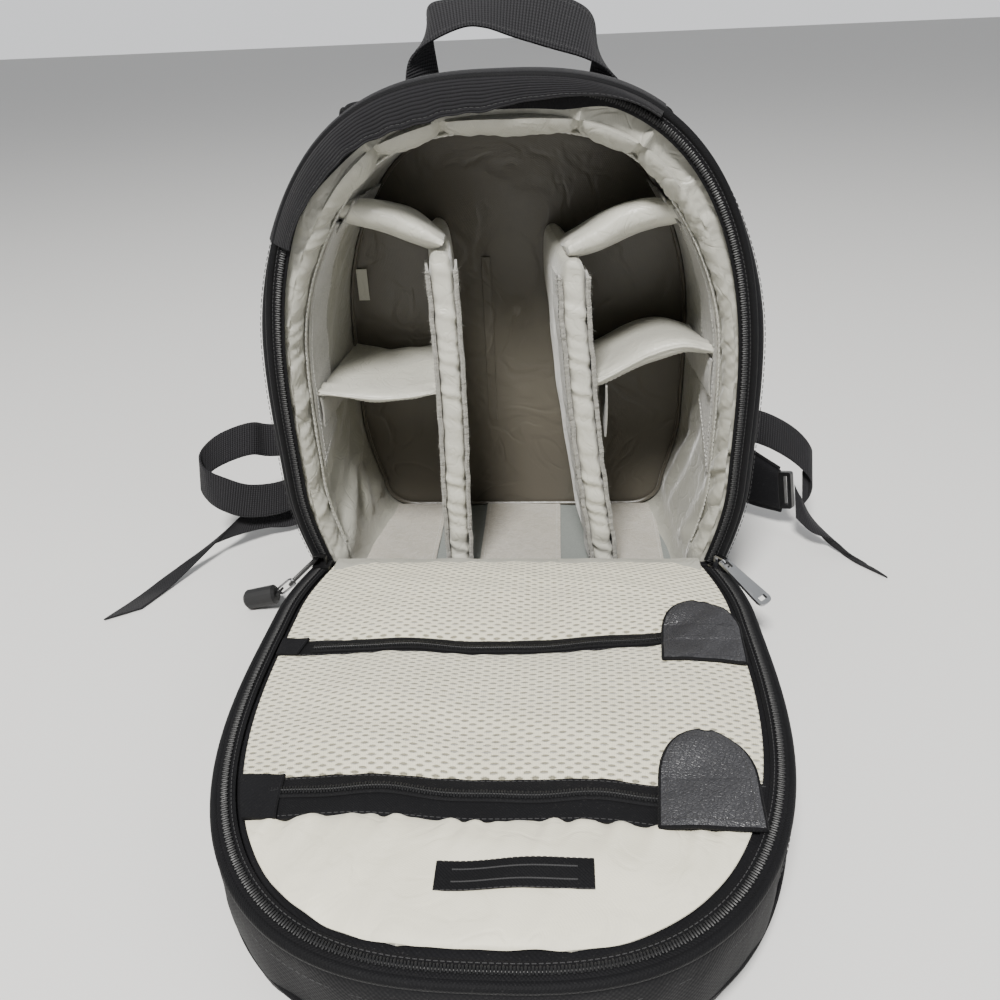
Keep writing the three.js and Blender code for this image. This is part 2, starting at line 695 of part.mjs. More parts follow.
function panelHeight(panel, x, along) {
  const half = insetHalfWidth(along, POCKET_INSET);
  const across = Math.min(Math.abs(x) / half, 1);
  const length = Math.min(Math.max((along - panel.from) / (panel.to - panel.from), 0), 1);
  const crown = (1 - across ** 4) * Math.sqrt(Math.sin(Math.PI * length));
  return POCKET_THICKNESS - LID_PAD_SINK + SEAT_GAP + panel.bulge * crown;
}

function lidSurface(x, along) {
  const panel = LID_PANELS.find((one) => along <= one.to) ?? LID_PANELS[LID_PANELS.length - 1];
  return panelHeight(panel, x, along);
}

function onLid(x, along, height) {
  return new THREE.Vector3(x, FRONT_Y + 1 - along * LID_STRETCH, lidHeight(along) + height);
}

// Sheet on the lid: rings across it, flat or draped below and crowned above.
function lidSheet(alongs, edges, below, above, columns) {
  return loft(alongs.map((along, j) => {
    const [left, right] = edges[j];
    const xs = Array.from({ length: columns + 1 }, (_, k) => left + (right - left) * k / columns);
    const under = xs.map((x) => onLid(x, along, below(x, along)));
    const over = xs.map((x) => onLid(x, along, above(x, along))).reverse();
    return [...under, ...over];
  }));
}

function addLidPanels() {
  const gap = SEAT_GAP / 2;
  for (const panel of LID_PANELS) {
    const from = panel.from + gap;
    const to = panel.to - gap;
    const alongs = Array.from({ length: panel.steps + 1 }, (_, k) => from + (to - from) * k / panel.steps);
    const edges = alongs.map((along) => {
      const half = insetHalfWidth(along, POCKET_INSET);
      return [-half, half];
    });
    add(panel.name, lidSheet(alongs, edges, () => SEAT_GAP - LID_PAD_SINK,
      (x, along) => panelHeight(panel, x, along), 10), panel.material);
  }
}

// D-shaped patches: a straight foot on the zip band and a round top that leans a little.
const PATCHES = [
  { name: 'leather_patch_upper', foot: UPPER_ZIP_START + UPPER_ZIP_WIDTH - 1, x: PATCH_CENTRE_X, lean: 6 },
  { name: 'leather_patch_lower', foot: LOWER_ZIP_START + LOWER_ZIP_WIDTH - 2,
    x: PATCH_CENTRE_X - 15, lean: 6 },
];

function addPatches() {
  const steps = 9;
  for (const patch of PATCHES) {
    const shares = Array.from({ length: steps + 1 }, (_, k) => 0.985 * k / steps);
    const alongs = shares.map((share) => patch.foot - PATCH_LENGTH * share);
    const edges = shares.map((share) => {
      const round = Math.max(share - 0.5, 0) / 0.5;
      const half = PATCH_HALF_WIDTH * Math.sqrt(1 - round ** 2);
      const centre = patch.x + patch.lean * share;
      return [centre - half, centre + half];
    });
    const lie = (x, along) => lidSurface(x, along) + SEAT_GAP + 0.2;
    add(patch.name, lidSheet(alongs, edges, lie, (x, along) => lie(x, along) + PATCH_THICKNESS, 4), LEATHER);
  }
}

function addLabel() {
  const along = LOWER_ZIP_START + LOWER_ZIP_WIDTH + 16;
  const alongs = [along, along + LABEL_WIDTH / 2, along + LABEL_WIDTH];
  const edges = alongs.map(() => [8.5 - LABEL_LENGTH / 2, 8.5 + LABEL_LENGTH / 2]);
  const lie = (x, at) => lidSurface(x, at) + SEAT_GAP;
  add('woven_label', lidSheet(alongs, edges, lie, (x, at) => lie(x, at) + 0.8, 6), BLACK_FABRIC);
}

// Zip pulls

// Axes of a pull: along its run over the table, across it, and up, with its origin on the pivot.
const PULL_RISE = HINGE_HEIGHT + PIVOT_LIFT;
const PULLS = {
  left: { x: -(HINGE_HALF_WIDTH + 3.6), y: FRONT_Y - 7, run: new THREE.Vector3(-0.995, 0.1, 0), slope: 45 },
  right: { x: HINGE_HALF_WIDTH + 5.6, y: FRONT_Y - 11, run: new THREE.Vector3(0.68, -0.733, 0), slope: 22 },
};

function pullFrame(pull, sloped) {
  const run = pull.run.clone().normalize();
  const across = new THREE.Vector3(0, 0, 1).cross(run);
  const angle = sloped ? THREE.MathUtils.degToRad(pull.slope) : 0;
  const along = run.multiplyScalar(Math.cos(angle)).add(new THREE.Vector3(0, 0, -Math.sin(angle)));
  const normal = along.clone().cross(across);
  return new THREE.Matrix4().makeBasis(along, across, normal)
    .setPosition(pull.x, pull.y, PULL_RISE);
}

function roundedOutline(x0, x1, halfStart, halfEnd, radius) {
  const outline = new THREE.Shape();
  outline.moveTo(x0, -halfStart);
  outline.lineTo(x1 - radius, -halfEnd);
  outline.absarc(x1 - radius, -halfEnd + radius, radius, -Math.PI / 2, 0, false);
  outline.absarc(x1 - radius, halfEnd - radius, radius, 0, Math.PI / 2, false);
  outline.lineTo(x0, halfStart);
  outline.closePath();
  return outline;
}

function rectangleHole(x0, x1, half) {
  const hole = new THREE.Path();
  hole.moveTo(x0, -half);
  hole.lineTo(x0, half);
  hole.lineTo(x1, half);
  hole.lineTo(x1, -half);
  hole.closePath();
  return hole;
}

function extruded(outline, thickness) {
  const geometry = new THREE.ExtrudeGeometry(outline, {
    depth: thickness, bevelEnabled: false, curveSegments: 4,
  });
  geometry.translate(0, 0, -thickness / 2);
  return geometry;
}

function addSlider(name, pull, material) {
  const top = -4.6;
  const body = extruded(roundedOutline(-9, 2.9, SLIDER_WIDTH / 2, SLIDER_WIDTH / 2, 1.2), SLIDER_THICKNESS);
  body.translate(0, 0, top - SLIDER_THICKNESS / 2);
  const arch = new THREE.Shape();
  arch.moveTo(-6.5, top - 0.5);
  arch.lineTo(-6.5, 1.5);
  arch.lineTo(-5.3, 2.7);
  arch.lineTo(1.7, 2.7);
  arch.lineTo(2.7, 1.7);
  arch.lineTo(2.7, top - 0.5);
  arch.lineTo(1.5, top - 0.5);
  arch.lineTo(1.5, 1.5);
  arch.lineTo(-5.3, 1.5);
  arch.lineTo(-5.3, top - 0.5);
  arch.closePath();
  const bridge = extruded(arch, BRIDGE_WIDTH);
  bridge.rotateX(Math.PI / 2);
  const geometry = join([body, bridge]);
  geometry.applyMatrix4(pullFrame(pull, false));
  add(name, geometry, material);
}

function addTab(name, pull, length, width, hole, material) {
  const outline = roundedOutline(-0.9, length, BRIDGE_WIDTH / 2 + 2, width / 2, width / 3);
  outline.holes.push(rectangleHole(0.9, 6.5, BRIDGE_WIDTH / 2 + 0.6));
  outline.holes.push(rectangleHole(length - hole.from, length - hole.to, hole.half));
  const geometry = extruded(outline, TAB_THICKNESS);
  geometry.applyMatrix4(pullFrame(pull, true));
  add(name, geometry, material);
}

// Wire loop from the tab's end hole to the eye of the barrel.
function wireLoop(start, end, side) {
  const along = end.clone().sub(start).normalize();
  const bend = 2.6;
  const centres = [];
  for (const [centre, from] of [[start.clone().addScaledVector(along, bend), 90],
    [end.clone().addScaledVector(along, -bend), -90]]) {
    for (let k = 0; k <= 6; k += 1) {
      const angle = THREE.MathUtils.degToRad(from + 30 * k);
      centres.push(centre.clone().addScaledVector(along, bend * Math.cos(angle))
        .addScaledVector(side, bend * Math.sin(angle)));
    }
  }
  const flat = along.clone().cross(side).normalize();
  const sections = centres.map((centre, k) => {
    const next = centres[(k + 1) % centres.length];
    const before = centres[(k + centres.length - 1) % centres.length];
    const out = next.clone().sub(before).cross(flat).normalize();
    return Array.from({ length: 6 }, (_, j) => {
      const angle = 2 * Math.PI * j / 6;
      return centre.clone().addScaledVector(out, WIRE_RADIUS * Math.cos(angle))
        .addScaledVector(flat, WIRE_RADIUS * Math.sin(angle));
    });
  });
  return loft(sections, true);
}

function addLeftPullEnd() {
  const frame = pullFrame(PULLS.left, true);
  const hole = new THREE.Vector3(LEFT_TAB_LENGTH - 3.5, 0, 0).applyMatrix4(frame);
  const normal = new THREE.Vector3().setFromMatrixColumn(frame, 2);
  const barrelStart = new THREE.Vector3(hole.x - 17.5, hole.y + 10, BARREL_RADIUS + 5.2);
  const barrelDirection = new THREE.Vector3(-0.95, 0.02, -0.24).normalize();
  const along = barrelStart.clone().sub(hole).normalize();
  const side = normal.clone().addScaledVector(along, -normal.dot(along)).normalize();
  const eye = barrelStart.clone().addScaledVector(along, -LUG_REACH);
  add('pull_link_left', wireLoop(hole, eye, side), DARK_CHROME);

  const radius = BARREL_RADIUS;
  const profile = [[0, 0], [0.7, 0], [1, 1.8], [1, BARREL_LENGTH - 2], [0.75, BARREL_LENGTH], [0, BARREL_LENGTH]]
    .map(([share, height]) => new THREE.Vector2(share * radius, height));
  const barrel = new THREE.LatheGeometry(profile, 14);
  const lug = roundedOutline(-LUG_REACH - 3.2, 2, 3, 3, 1.5);
  lug.holes.push(rectangleHole(-LUG_REACH - 1.8, 1.8 - LUG_REACH, 2));
  const plate = extruded(lug, 1.4);
  const flat = side.clone().cross(along).normalize();
  plate.applyMatrix4(new THREE.Matrix4().makeBasis(along, flat, along.clone().cross(flat))
    .setPosition(barrelStart));
  const across = side.clone().cross(barrelDirection).normalize();
  const out = barrelDirection.clone().cross(across).normalize();
  barrel.applyMatrix4(new THREE.Matrix4().makeBasis(across, barrelDirection, out.clone().negate())
    .setPosition(barrelStart));
  add('pull_barrel_left', join([barrel, plate]), RUBBER);
}

// Handle

// Height of the outside of the body above a point.
function crownHeight(x, y) {
  const row = shellRowAt(y, 0);
  let best = 0;
  for (let k = 0; k < UPPER_STEPS; k += 1) {
    const a = bodyAt(k, row);
    const b = bodyAt(k + 1, row);
    if (a.x >= x && b.x < x) best = Math.max(best, a.z + (b.z - a.z) * (x - a.x) / (b.x - a.x));
  }
  return best;
}

// Front and back edges of the handle: shares of its half span and of its rise.
const HANDLE_EDGES = [
  { front: [-0.9, 0.08], back: [-0.71, 0.3] },
  { front: [-0.72, 0.3], back: [-0.73, 0.74] },
  { front: [-0.41, 0.48], back: [-0.52, 0.83] },
  { front: [-0.2, 0.47], back: [-0.22, 0.86] },
  { front: [0.05, 0.34], back: [0.12, 0.9] },
  { front: [0.38, 0.18], back: [0.41, 0.84] },
  { front: [0.68, 0.04], back: [0.72, 0.62] },
  { front: [0.88, -0.12], back: [0.79, 0.26] },
];

function addHandle() {
  const base = CROWN_HEIGHT - 1;
  const place = ([across, up], y) => new THREE.Vector3(
    across * HANDLE_HALF_SPAN, y, base + up * HANDLE_RISE);
  const foot = (across, y) => {
    const x = across * HANDLE_HALF_SPAN;
    return new THREE.Vector3(x, y, crownHeight(x, y) + SEAT_GAP + 0.8);
  };
  const front = [foot(-0.96, HANDLE_FRONT_Y), ...HANDLE_EDGES.map((row) => place(row.front, HANDLE_FRONT_Y)),
    foot(1.04, HANDLE_FRONT_Y)];
  const back = [foot(-0.67, HANDLE_BACK_Y), ...HANDLE_EDGES.map((row) => place(row.back, HANDLE_BACK_Y)),
    foot(0.74, HANDLE_BACK_Y)];
  add('handle', ribbon(smoothLine(front, 30), smoothLine(back, 30), WEBBING_THICKNESS), WEBBING);
}

// Straps

// Points of a strap: share of the mouth's half width and distance out from it, distance behind the
// back, share of the crown's height and distance above it, the width's direction and its share.
const SHOULDER_STRAPS = {
  right: [
    [0, 74, 5.1, 1, -62, 1, 0, 0, 0.9], [0, 80, 8, 1, -42, 1, 0, 0, 0.95],
    [0, 88, 16, 1, -28, 1, 0, 0, 1], [0, 95, 27, 1, -34, 1, 0, 0, 1],
    [0, 98, 32, 1, -66, 1, 0, 0, 1], [0, 101, 34, 0.6, 0, 1, 0, 0, 1],
    [0, 106, 33, 0.42, 0, 0.95, 0, -0.3, 1], [0.5, 50, 29, 0.27, 0, 0.8, 0, 0.6, 1],
    [1, -3, 23, 0, 61, 0.5, 0.2, 0.84, 0.95], [1, 14, 13, 0, 45, 0.2, 0.3, 0.93, 0.85],
    [1, 40, -8, 0, 36, 0, 0.35, 0.94, 0.78], [1, 62, -25, 0, 32, -0.1, 0.3, 0.95, 0.62],
  ],
  left: [
    [0, 74, 5.1, 1, -62, 1, 0, 0, 0.9], [0, 80, 8, 1, -42, 1, 0, 0, 0.95],
    [0, 88, 16, 1, -28, 1, 0, 0, 1], [0, 95, 27, 1, -34, 1, 0, 0, 1],
    [0, 98, 32, 1, -66, 1, 0, 0, 1], [0, 99, 34, 0.6, 0, 1, 0, 0, 1],
    [0, 100, 34, 0.42, 0, 1, 0, 0, 1], [0, 103, 32, 0.27, 0, 0.95, 0, 0.3, 1],
    [0, 112, 27, 0, 62, 0.8, 0, 0.6, 0.9], [0, 128, 21, 0, 44, 0.5, 0.1, 0.86, 0.62],
  ],
};

const WEBBING_RUNS = {
  webbing_loop_right: { side: 1, rows: [
    [1, 76, -33.5, 0, 38, 0, 0.5, 0.86, 1], [1, 80, -33.5, 0, 46, 0, 0.5, 0.86, 1],
    [1, 79.5, -33, 0, 58, 0, 0.5, 0.86, 1], [1, 71, -27, 0, 68, 0, 0.4, 0.9, 1],
    [1, 58, -17, 0, 74.5, 0, 0.3, 0.95, 1], [1, 42, -8, 0, 78.5, 0, 0.2, 0.98, 1],
    [1, 16, 2.2, 0, 80, 0, 0, 1, 1], [1, -12, 1.6, 0, 80, 0, 0, 1, 1]] },
  webbing_loop_left: { side: -1, rows: [
    [1, -22, 1.2, 0, 66, 0, 0, 1, 1], [1, 14, 2.2, 0, 67, 0, 0, 1, 1],
    [1, 62, -6, 0, 70, 0, 0.4, 0.9, 1], [1, 74, -17, 0, 77, 0, 0.5, 0.86, 1],
    [1, 89, -26, 0, 76, 0, 0.5, 0.86, 1], [1, 102, -35, 0, 71.5, 0, 0.5, 0.86, 1],
    [1, 109, -45, 0, 63.5, 0, 0.4, 0.9, 1], [1, 103, -53, 0, 55, 0, 0.3, 0.95, 1],
    [1, 89, -55, 0, 47, -0.1, 0.45, 0.88, 1], [1, 73, -49, 0, 38, -0.1, 0.5, 0.86, 1],
    [1, 50, -33, 0, 33.5, 0, 0.5, 0.86, 1], [1, 26, -7, 0, 37, 0, 0.3, 0.95, 1],
    [1, 6, 14.2, 0, 44, 0, 0.1, 0.99, 1]] },
  webbing_tail_right: { side: 1, rows: [
    [1, 69.6, -41.3, 0, 30.8, 0, 0.6, 0.8, 1], [1, 77, -50, 0, 23, -0.2, 0.7, 0.68, 1],
    [1, 88, -54, 0, 14, -0.5, 0.8, 0.3, 1], [1, 98, -64, 0, 5, -0.6, 0.8, 0.1, 1],
    [1, 108, -76, 0, 1.6, -0.65, 0.76, 0, 1], [1, 116, -90, 0, 1.4, -0.65, 0.76, 0, 1]] },
  webbing_tail_left: { side: -1, rows: [
    [1, -5, 17, 0, 26, 0, 0.4, 0.9, 0.8], [1, 20, -2, 0, 13, 0, 0.8, 0.6, 0.9],
    [1, 48, -24, 0, 13, 0, 0.86, 0.5, 1], [1, 66, -35, 0, 18.5, 0, 0.8, 0.6, 1],
    [1, 81, -48, 0, 19, -0.2, 0.85, 0.45, 1], [1, 94, -65, 0, 17, -0.5, 0.8, 0.3, 1],
    [1, 106, -83, 0, 12, -0.68, 0.7, 0.2, 1], [1, 117, -99, 0, 7, -0.75, 0.65, 0.1, 1],
    [1, 130, -122, 0, 2.2, -0.8, 0.6, 0, 1], [1, 142, -146, 0, 1.4, -0.85, 0.52, 0, 1]] },
};

function strapPoint(side, [wide, out, back, high, up]) {
  return new THREE.Vector3(side * (wide * MOUTH_HALF_WIDTH + out), BACK_Y + back, high * CROWN_HEIGHT + up);
}

function strapWidth(side, row, width) {
  return new THREE.Vector3(side * row[5], row[6], row[7]).normalize()
    .multiplyScalar(row[8] * width / 2);
}

// Low and high edges of a strap as smooth lines of points.
function strapEdges(rows, side, width, steps) {
  return [-1, 1].map((sign) => smoothLine(
    rows.map((row) => strapPoint(side, row).addScaledVector(strapWidth(side, row, width), sign)), steps));
}

function addWebbing() {
  for (const [name, run] of Object.entries(WEBBING_RUNS)) {
    const [low, high] = strapEdges(run.rows, run.side, WEBBING_WIDTH, 24);
    add(name, ribbon(low, high, WEBBING_THICKNESS), WEBBING);
  }
}

// Middle, width, and outward face of the strap at one of its sections.
function strapSection(low, high, k) {
  const before = Math.max(k - 1, 0);
  const after = Math.min(k + 1, low.length - 1);
  const along = low[after].clone().add(high[after]).sub(low[before]).sub(high[before]);
  const across = high[k].clone().sub(low[k]);
  const normal = along.cross(across).normalize();
  return { start: low[k], across, normal };
}

// Padded strap: rounded sections between its two edges.
function paddedStrap(low, high) {
  return loft(low.map((_, k) => {
    const { start, across, normal } = strapSection(low, high, k);
    return Array.from({ length: 8 }, (__, j) => {
      const angle = 2 * Math.PI * (j + 0.5) / 8;
      const wide = Math.sign(Math.cos(angle)) * Math.abs(Math.cos(angle)) ** 0.4 / 2;
      return start.clone().addScaledVector(across, 0.5 + wide)
        .addScaledVector(normal, Math.sin(angle) * STRAP_THICKNESS / 2);
    });
  }));
}

// Plastic end fitting with a slot for the webbing, beyond the end of a padded strap.
function strapEnd(low, high) {
  const { start, across, normal } = strapSection(low, high, low.length - 1);
  const middle = start.clone().addScaledVector(across, 0.5);
  const side = across.clone().normalize();
  const along = side.clone().cross(normal).normalize();
  const outline = roundedOutline(0, STRAP_END_LENGTH, WEBBING_WIDTH / 2 + 2, WEBBING_WIDTH / 2 + 2, 2);
  outline.holes.push(rectangleHole(3.5, 6, WEBBING_WIDTH / 2 - 1));
  const geometry = extruded(outline, STRAP_END_THICKNESS);
  geometry.applyMatrix4(new THREE.Matrix4().makeBasis(along, side, along.clone().cross(side))
    .setPosition(middle.addScaledVector(along, SEAT_GAP)));
  return geometry;
}

function addStraps() {
  for (const [name, rows] of Object.entries(SHOULDER_STRAPS)) {
    const [low, high] = strapEdges(rows, name === 'right' ? 1 : -1, STRAP_WIDTH, 22);
    add(`shoulder_strap_${name}`, paddedStrap(low, high), BLACK_FABRIC);
    add(`strap_end_${name}`, strapEnd(low, high), BLACK_PLASTIC);
  }
}

function addBackPanel() {
  const rows = [[0.4, -30], [4, -28], [7, -33]].map(([out, side]) => ({
    y: BACK_Y + out, side, crown: side - 42, floor: HINGE_HEIGHT * 0.55 - side / 10,
  }));
  add('back_panel', loft(rings(bodyAt, rows)), BLACK_FABRIC);
}

addShell();
addPadding();
addBackPadding();
addWallLoops();
addFloorLoops();
addLongDividers();
addShelves();
addBodyZip();
addRainFlap();
addLidShell();
addLidPad();
addLidZip();
addHingeStrip();
addLidPanels();
addPatches();
addLabel();
addSlider('slider_left', PULLS.left, BLACK_PLASTIC);
addSlider('slider_right', PULLS.right, DARK_CHROME);
addTab('pull_tab_left', PULLS.left, LEFT_TAB_LENGTH, LEFT_TAB_WIDTH, { from: 5.1, to: 1.9, half: 1.6 },
  DARK_CHROME);
addTab('pull_tab_right', PULLS.right, RIGHT_TAB_LENGTH, RIGHT_TAB_WIDTH, { from: 6, to: 3, half: 3.2 },
  GREY_METAL);
addLeftPullEnd();
addHandle();
addBackPanel();
addStraps();
addWebbing();

export default group;
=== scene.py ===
"""An open camera backpack: the body stands, its zipped lid lies forward on the floor."""

import math

import bpy
import numpy as np
from mathutils import Matrix, Vector


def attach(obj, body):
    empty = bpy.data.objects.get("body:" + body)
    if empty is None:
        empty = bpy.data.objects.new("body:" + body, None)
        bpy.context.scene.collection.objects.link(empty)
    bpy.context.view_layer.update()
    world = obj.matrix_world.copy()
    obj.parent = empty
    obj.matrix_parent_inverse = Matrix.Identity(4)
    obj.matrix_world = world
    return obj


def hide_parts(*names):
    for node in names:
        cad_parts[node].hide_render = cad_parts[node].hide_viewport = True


# Sizes, in millimetres
HINGE_HALF = 129.4
HINGE_HEIGHT = 42.0
MOUTH_HALF = 140.0
MOUTH_HEIGHT = 290.0
SIDE_RISE = 60.0
ARCH_START = 89.3
POWER_ACROSS = 2.75
POWER_UP = 2.635
BOTTOM_CORNER = 25.0
CROWN_START = 150.0
CROWN_END = 255.0
CROWN_FALL = 6.0
FRONT_Y = -66.0
BODY_DEPTH = 141.0
BACK_Y = FRONT_Y + BODY_DEPTH
SIDE_BULGE = 12.0
CROWN_BULGE = 5.0
SHELL_WALL = 2.0
SEAM_Y = -52.0
WALL_START_Y = -57.6
WALL_END_Y = 49.0
WALL_FRONT = 12.5
WALL_BACK = 20.0
CEILING_ROLL = 22.0
FLOOR_TOP = 20.5
LID_RISE = 17.0
LID_STRETCH = 1.008
LID_BULGE = 9.0
POCKET_INSET = 9.0
TOOTH_PITCH = 1.35
WEBBING_WIDTH = 25.0
WEBBING_THICKNESS = 1.5

FORWARD = (0.0, -1.0, 0.0)
UPWARD = (0.0, 0.0, 1.0)
LID_UPWARD = (0.0, -0.06, 1.0)

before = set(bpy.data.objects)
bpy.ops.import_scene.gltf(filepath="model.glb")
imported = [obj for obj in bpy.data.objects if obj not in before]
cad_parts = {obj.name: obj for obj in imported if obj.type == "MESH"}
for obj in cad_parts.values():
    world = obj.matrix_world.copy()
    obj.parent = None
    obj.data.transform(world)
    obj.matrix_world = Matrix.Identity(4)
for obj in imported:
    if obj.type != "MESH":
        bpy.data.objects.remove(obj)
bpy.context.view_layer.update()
SCENE = bpy.context.scene


# Node groups

def new_group(name, inputs, outputs):
    group = bpy.data.node_groups.new(name, "ShaderNodeTree")
    for label, kind, value in inputs:
        socket = group.interface.new_socket(label, in_out="INPUT", socket_type=kind)
        if value is not None:
            socket.default_value = value
    for label, kind in outputs:
        group.interface.new_socket(label, in_out="OUTPUT", socket_type=kind)
    return group, group.nodes.new("NodeGroupInput"), group.nodes.new("NodeGroupOutput")


def math_node(tree, kind, a, b=None, c=None):
    node = tree.nodes.new("ShaderNodeMath")
    node.operation = kind
    for slot, value in enumerate((a, b, c)):
        if value is None:
            continue
        if isinstance(value, (int, float)):
            node.inputs[slot].default_value = value
        else:
            tree.links.new(value, node.inputs[slot])
    return node.outputs[0]


def split(tree, vector):
    node = tree.nodes.new("ShaderNodeSeparateXYZ")
    tree.links.new(vector, node.inputs[0])
    return node.outputs[0], node.outputs[1], node.outputs[2]


def noise(tree, vector, scale, detail=3.0, rough=0.55, distortion=0.0):
    node = tree.nodes.new("ShaderNodeTexNoise")
    tree.links.new(vector, node.inputs["Vector"])
    for label, value in (("Scale", scale), ("Detail", detail), ("Roughness", rough),
                         ("Distortion", distortion)):
        if isinstance(value, (int, float)):
            node.inputs[label].default_value = value
        else:
            tree.links.new(value, node.inputs[label])
    return node.outputs["Fac"]


def remap(tree, value, low, high, to_low=0.0, to_high=1.0):
    node = tree.nodes.new("ShaderNodeMapRange")
    node.interpolation_type = "SMOOTHSTEP"
    tree.links.new(value, node.inputs["Value"])
    for label, number in (("From Min", low), ("From Max", high), ("To Min", to_low), ("To Max", to_high)):
        if isinstance(number, (int, float)):
            node.inputs[label].default_value = number
        else:
            tree.links.new(number, node.inputs[label])
    return node.outputs["Result"]


def plain_weave():
    """Height = sin(x) sin(y) for the crossing threads, with uneven yarns from a fine noise."""
    group, start, end = new_group(
        "plain_weave",
        [("Vector", "NodeSocketVector", None), ("Threads", "NodeSocketFloat", 1400.0),
         ("Stretch", "NodeSocketFloat", 1.0)],
        [("Height", "NodeSocketFloat"), ("Yarn", "NodeSocketFloat")])
    x, y, _ = split(group, start.outputs["Vector"])
    angle = math_node(group, "MULTIPLY", start.outputs["Threads"], math.pi)
    across = math_node(group, "SINE", math_node(group, "MULTIPLY", x, angle))
    tall = math_node(group, "MULTIPLY", angle, start.outputs["Stretch"])
    along = math_node(group, "SINE", math_node(group, "MULTIPLY", y, tall))
    crossing = math_node(group, "MULTIPLY", across, along)
    uneven = noise(group, start.outputs["Vector"], 420.0, 2.0)
    height = math_node(group, "ADD", math_node(group, "MULTIPLY", crossing, 0.35), uneven)
    group.links.new(height, end.inputs["Height"])
    group.links.new(uneven, end.inputs["Yarn"])
    return group


def rib_weave():
    """Height = |sin| of the length for each rib, broken across the width by a finer |sin|."""
    group, start, end = new_group(
        "rib_weave",
        [("Vector", "NodeSocketVector", None), ("Ribs", "NodeSocketFloat", 600.0),
         ("Threads", "NodeSocketFloat", 500.0), ("Depth", "NodeSocketFloat", 0.45)],
        [("Height", "NodeSocketFloat"), ("Groove", "NodeSocketFloat")])
    x, y, _ = split(group, start.outputs["Vector"])
    angle = math_node(group, "MULTIPLY", x, math_node(group, "MULTIPLY", start.outputs["Ribs"], math.pi))
    rib = math_node(group, "ABSOLUTE", math_node(group, "SINE", angle))
    step = math_node(group, "MULTIPLY", y, math_node(group, "MULTIPLY", start.outputs["Threads"], math.pi))
    thread = math_node(group, "ABSOLUTE", math_node(group, "SINE", step))
    broken = math_node(group, "MULTIPLY", thread, start.outputs["Depth"])
    height = math_node(group, "ADD", rib, broken)
    group.links.new(height, end.inputs["Height"])
    group.links.new(remap(group, rib, 0.0, 0.5, 1.0, 0.0), end.inputs["Groove"])
    return group


def soft_creases():
    """Height = a stretched noise plus a fold line wherever a second noise crosses its middle."""
    group, start, end = new_group(
        "soft_creases",
        [("Vector", "NodeSocketVector", None), ("Scale", "NodeSocketFloat", 30.0),
         ("Sharpness", "NodeSocketFloat", 0.5)],
        [("Height", "NodeSocketFloat"), ("Mask", "NodeSocketFloat")])
    wide = noise(group, start.outputs["Vector"], start.outputs["Scale"], 3.0, 0.5, 0.6)
    fine_scale = math_node(group, "MULTIPLY", start.outputs["Scale"], 2.7)
    fine = noise(group, start.outputs["Vector"], fine_scale, 2.0, 0.5, 1.2)
    line = math_node(group, "ABSOLUTE", math_node(group, "SUBTRACT", fine, 0.5))
    fold = remap(group, line, 0.0, 0.09, 1.0, 0.0)
    strength = math_node(group, "MULTIPLY", start.outputs["Sharpness"], 0.35)
    sharp = math_node(group, "MULTIPLY", fold, strength)
    group.links.new(math_node(group, "SUBTRACT", wide, sharp), end.inputs["Height"])
    group.links.new(fold, end.inputs["Mask"])
    return group


def lint():
    """Mask = rare bright grains where a very fine noise peaks, gathered by a wide noise."""
    group, start, end = new_group(
        "lint",
        [("Vector", "NodeSocketVector", None), ("Scale", "NodeSocketFloat", 900.0),
         ("Amount", "NodeSocketFloat", 0.5)],
        [("Mask", "NodeSocketFloat"), ("Patches", "NodeSocketFloat")])
    fine = noise(group, start.outputs["Vector"], start.outputs["Scale"], 2.0, 0.6)
    wide = noise(group, start.outputs["Vector"], 14.0, 3.0, 0.6)
    grains = remap(group, fine, 0.62, 0.74)
    patches = remap(group, wide, 0.35, 0.7)
    gathered = math_node(group, "MULTIPLY", grains, patches)
    mask = math_node(group, "MULTIPLY", gathered, start.outputs["Amount"])
    group.links.new(mask, end.inputs["Mask"])
    group.links.new(patches, end.inputs["Patches"])
    return group


def from_middle(tree, value):
    """How far a value lies from the middle of its unit cell."""
    cell = math_node(tree, "FRACT", math_node(tree, "ADD", value, 64.0))
    return math_node(tree, "ABSOLUTE", math_node(tree, "SUBTRACT", cell, 0.5))


def mesh_holes():
    """Hole mask of two shifted grids of ellipses: the nearer centre of the two decides the distance."""
    group, start, end = new_group(
        "mesh_holes",
        [("Vector", "NodeSocketVector", None), ("Width", "NodeSocketFloat", 0.0082),
         ("Length", "NodeSocketFloat", 0.0047), ("Size", "NodeSocketFloat", 0.19)],
        [("Hole", "NodeSocketFloat"), ("Height", "NodeSocketFloat")])
    wobble = noise(group, start.outputs["Vector"], 180.0, 1.0)
    x, y, _ = split(group, start.outputs["Vector"])
    sway = math_node(group, "MULTIPLY", math_node(group, "SUBTRACT", wobble, 0.5), 0.0011)
    x = math_node(group, "ADD", x, sway)
    distances = []
    for shift in (0.0, 0.5):
        across = math_node(group, "ADD", math_node(group, "DIVIDE", x, start.outputs["Width"]), shift)
        along = math_node(group, "ADD", math_node(group, "DIVIDE", y, start.outputs["Length"]), shift)
        wide = math_node(group, "POWER", from_middle(group, across), 2.0)
        tall = math_node(group, "MULTIPLY", math_node(group, "POWER", from_middle(group, along), 1.7), 1.5)
        distances.append(math_node(group, "SQRT", math_node(group, "ADD", wide, tall)))
    nearest = math_node(group, "MINIMUM", distances[0], distances[1])
    edge = math_node(group, "ADD", start.outputs["Size"], 0.075)
    group.links.new(remap(group, nearest, start.outputs["Size"], edge, 1.0, 0.0), end.inputs["Hole"])
    group.links.new(remap(group, nearest, 0.08, 0.36), end.inputs["Height"])
    return group


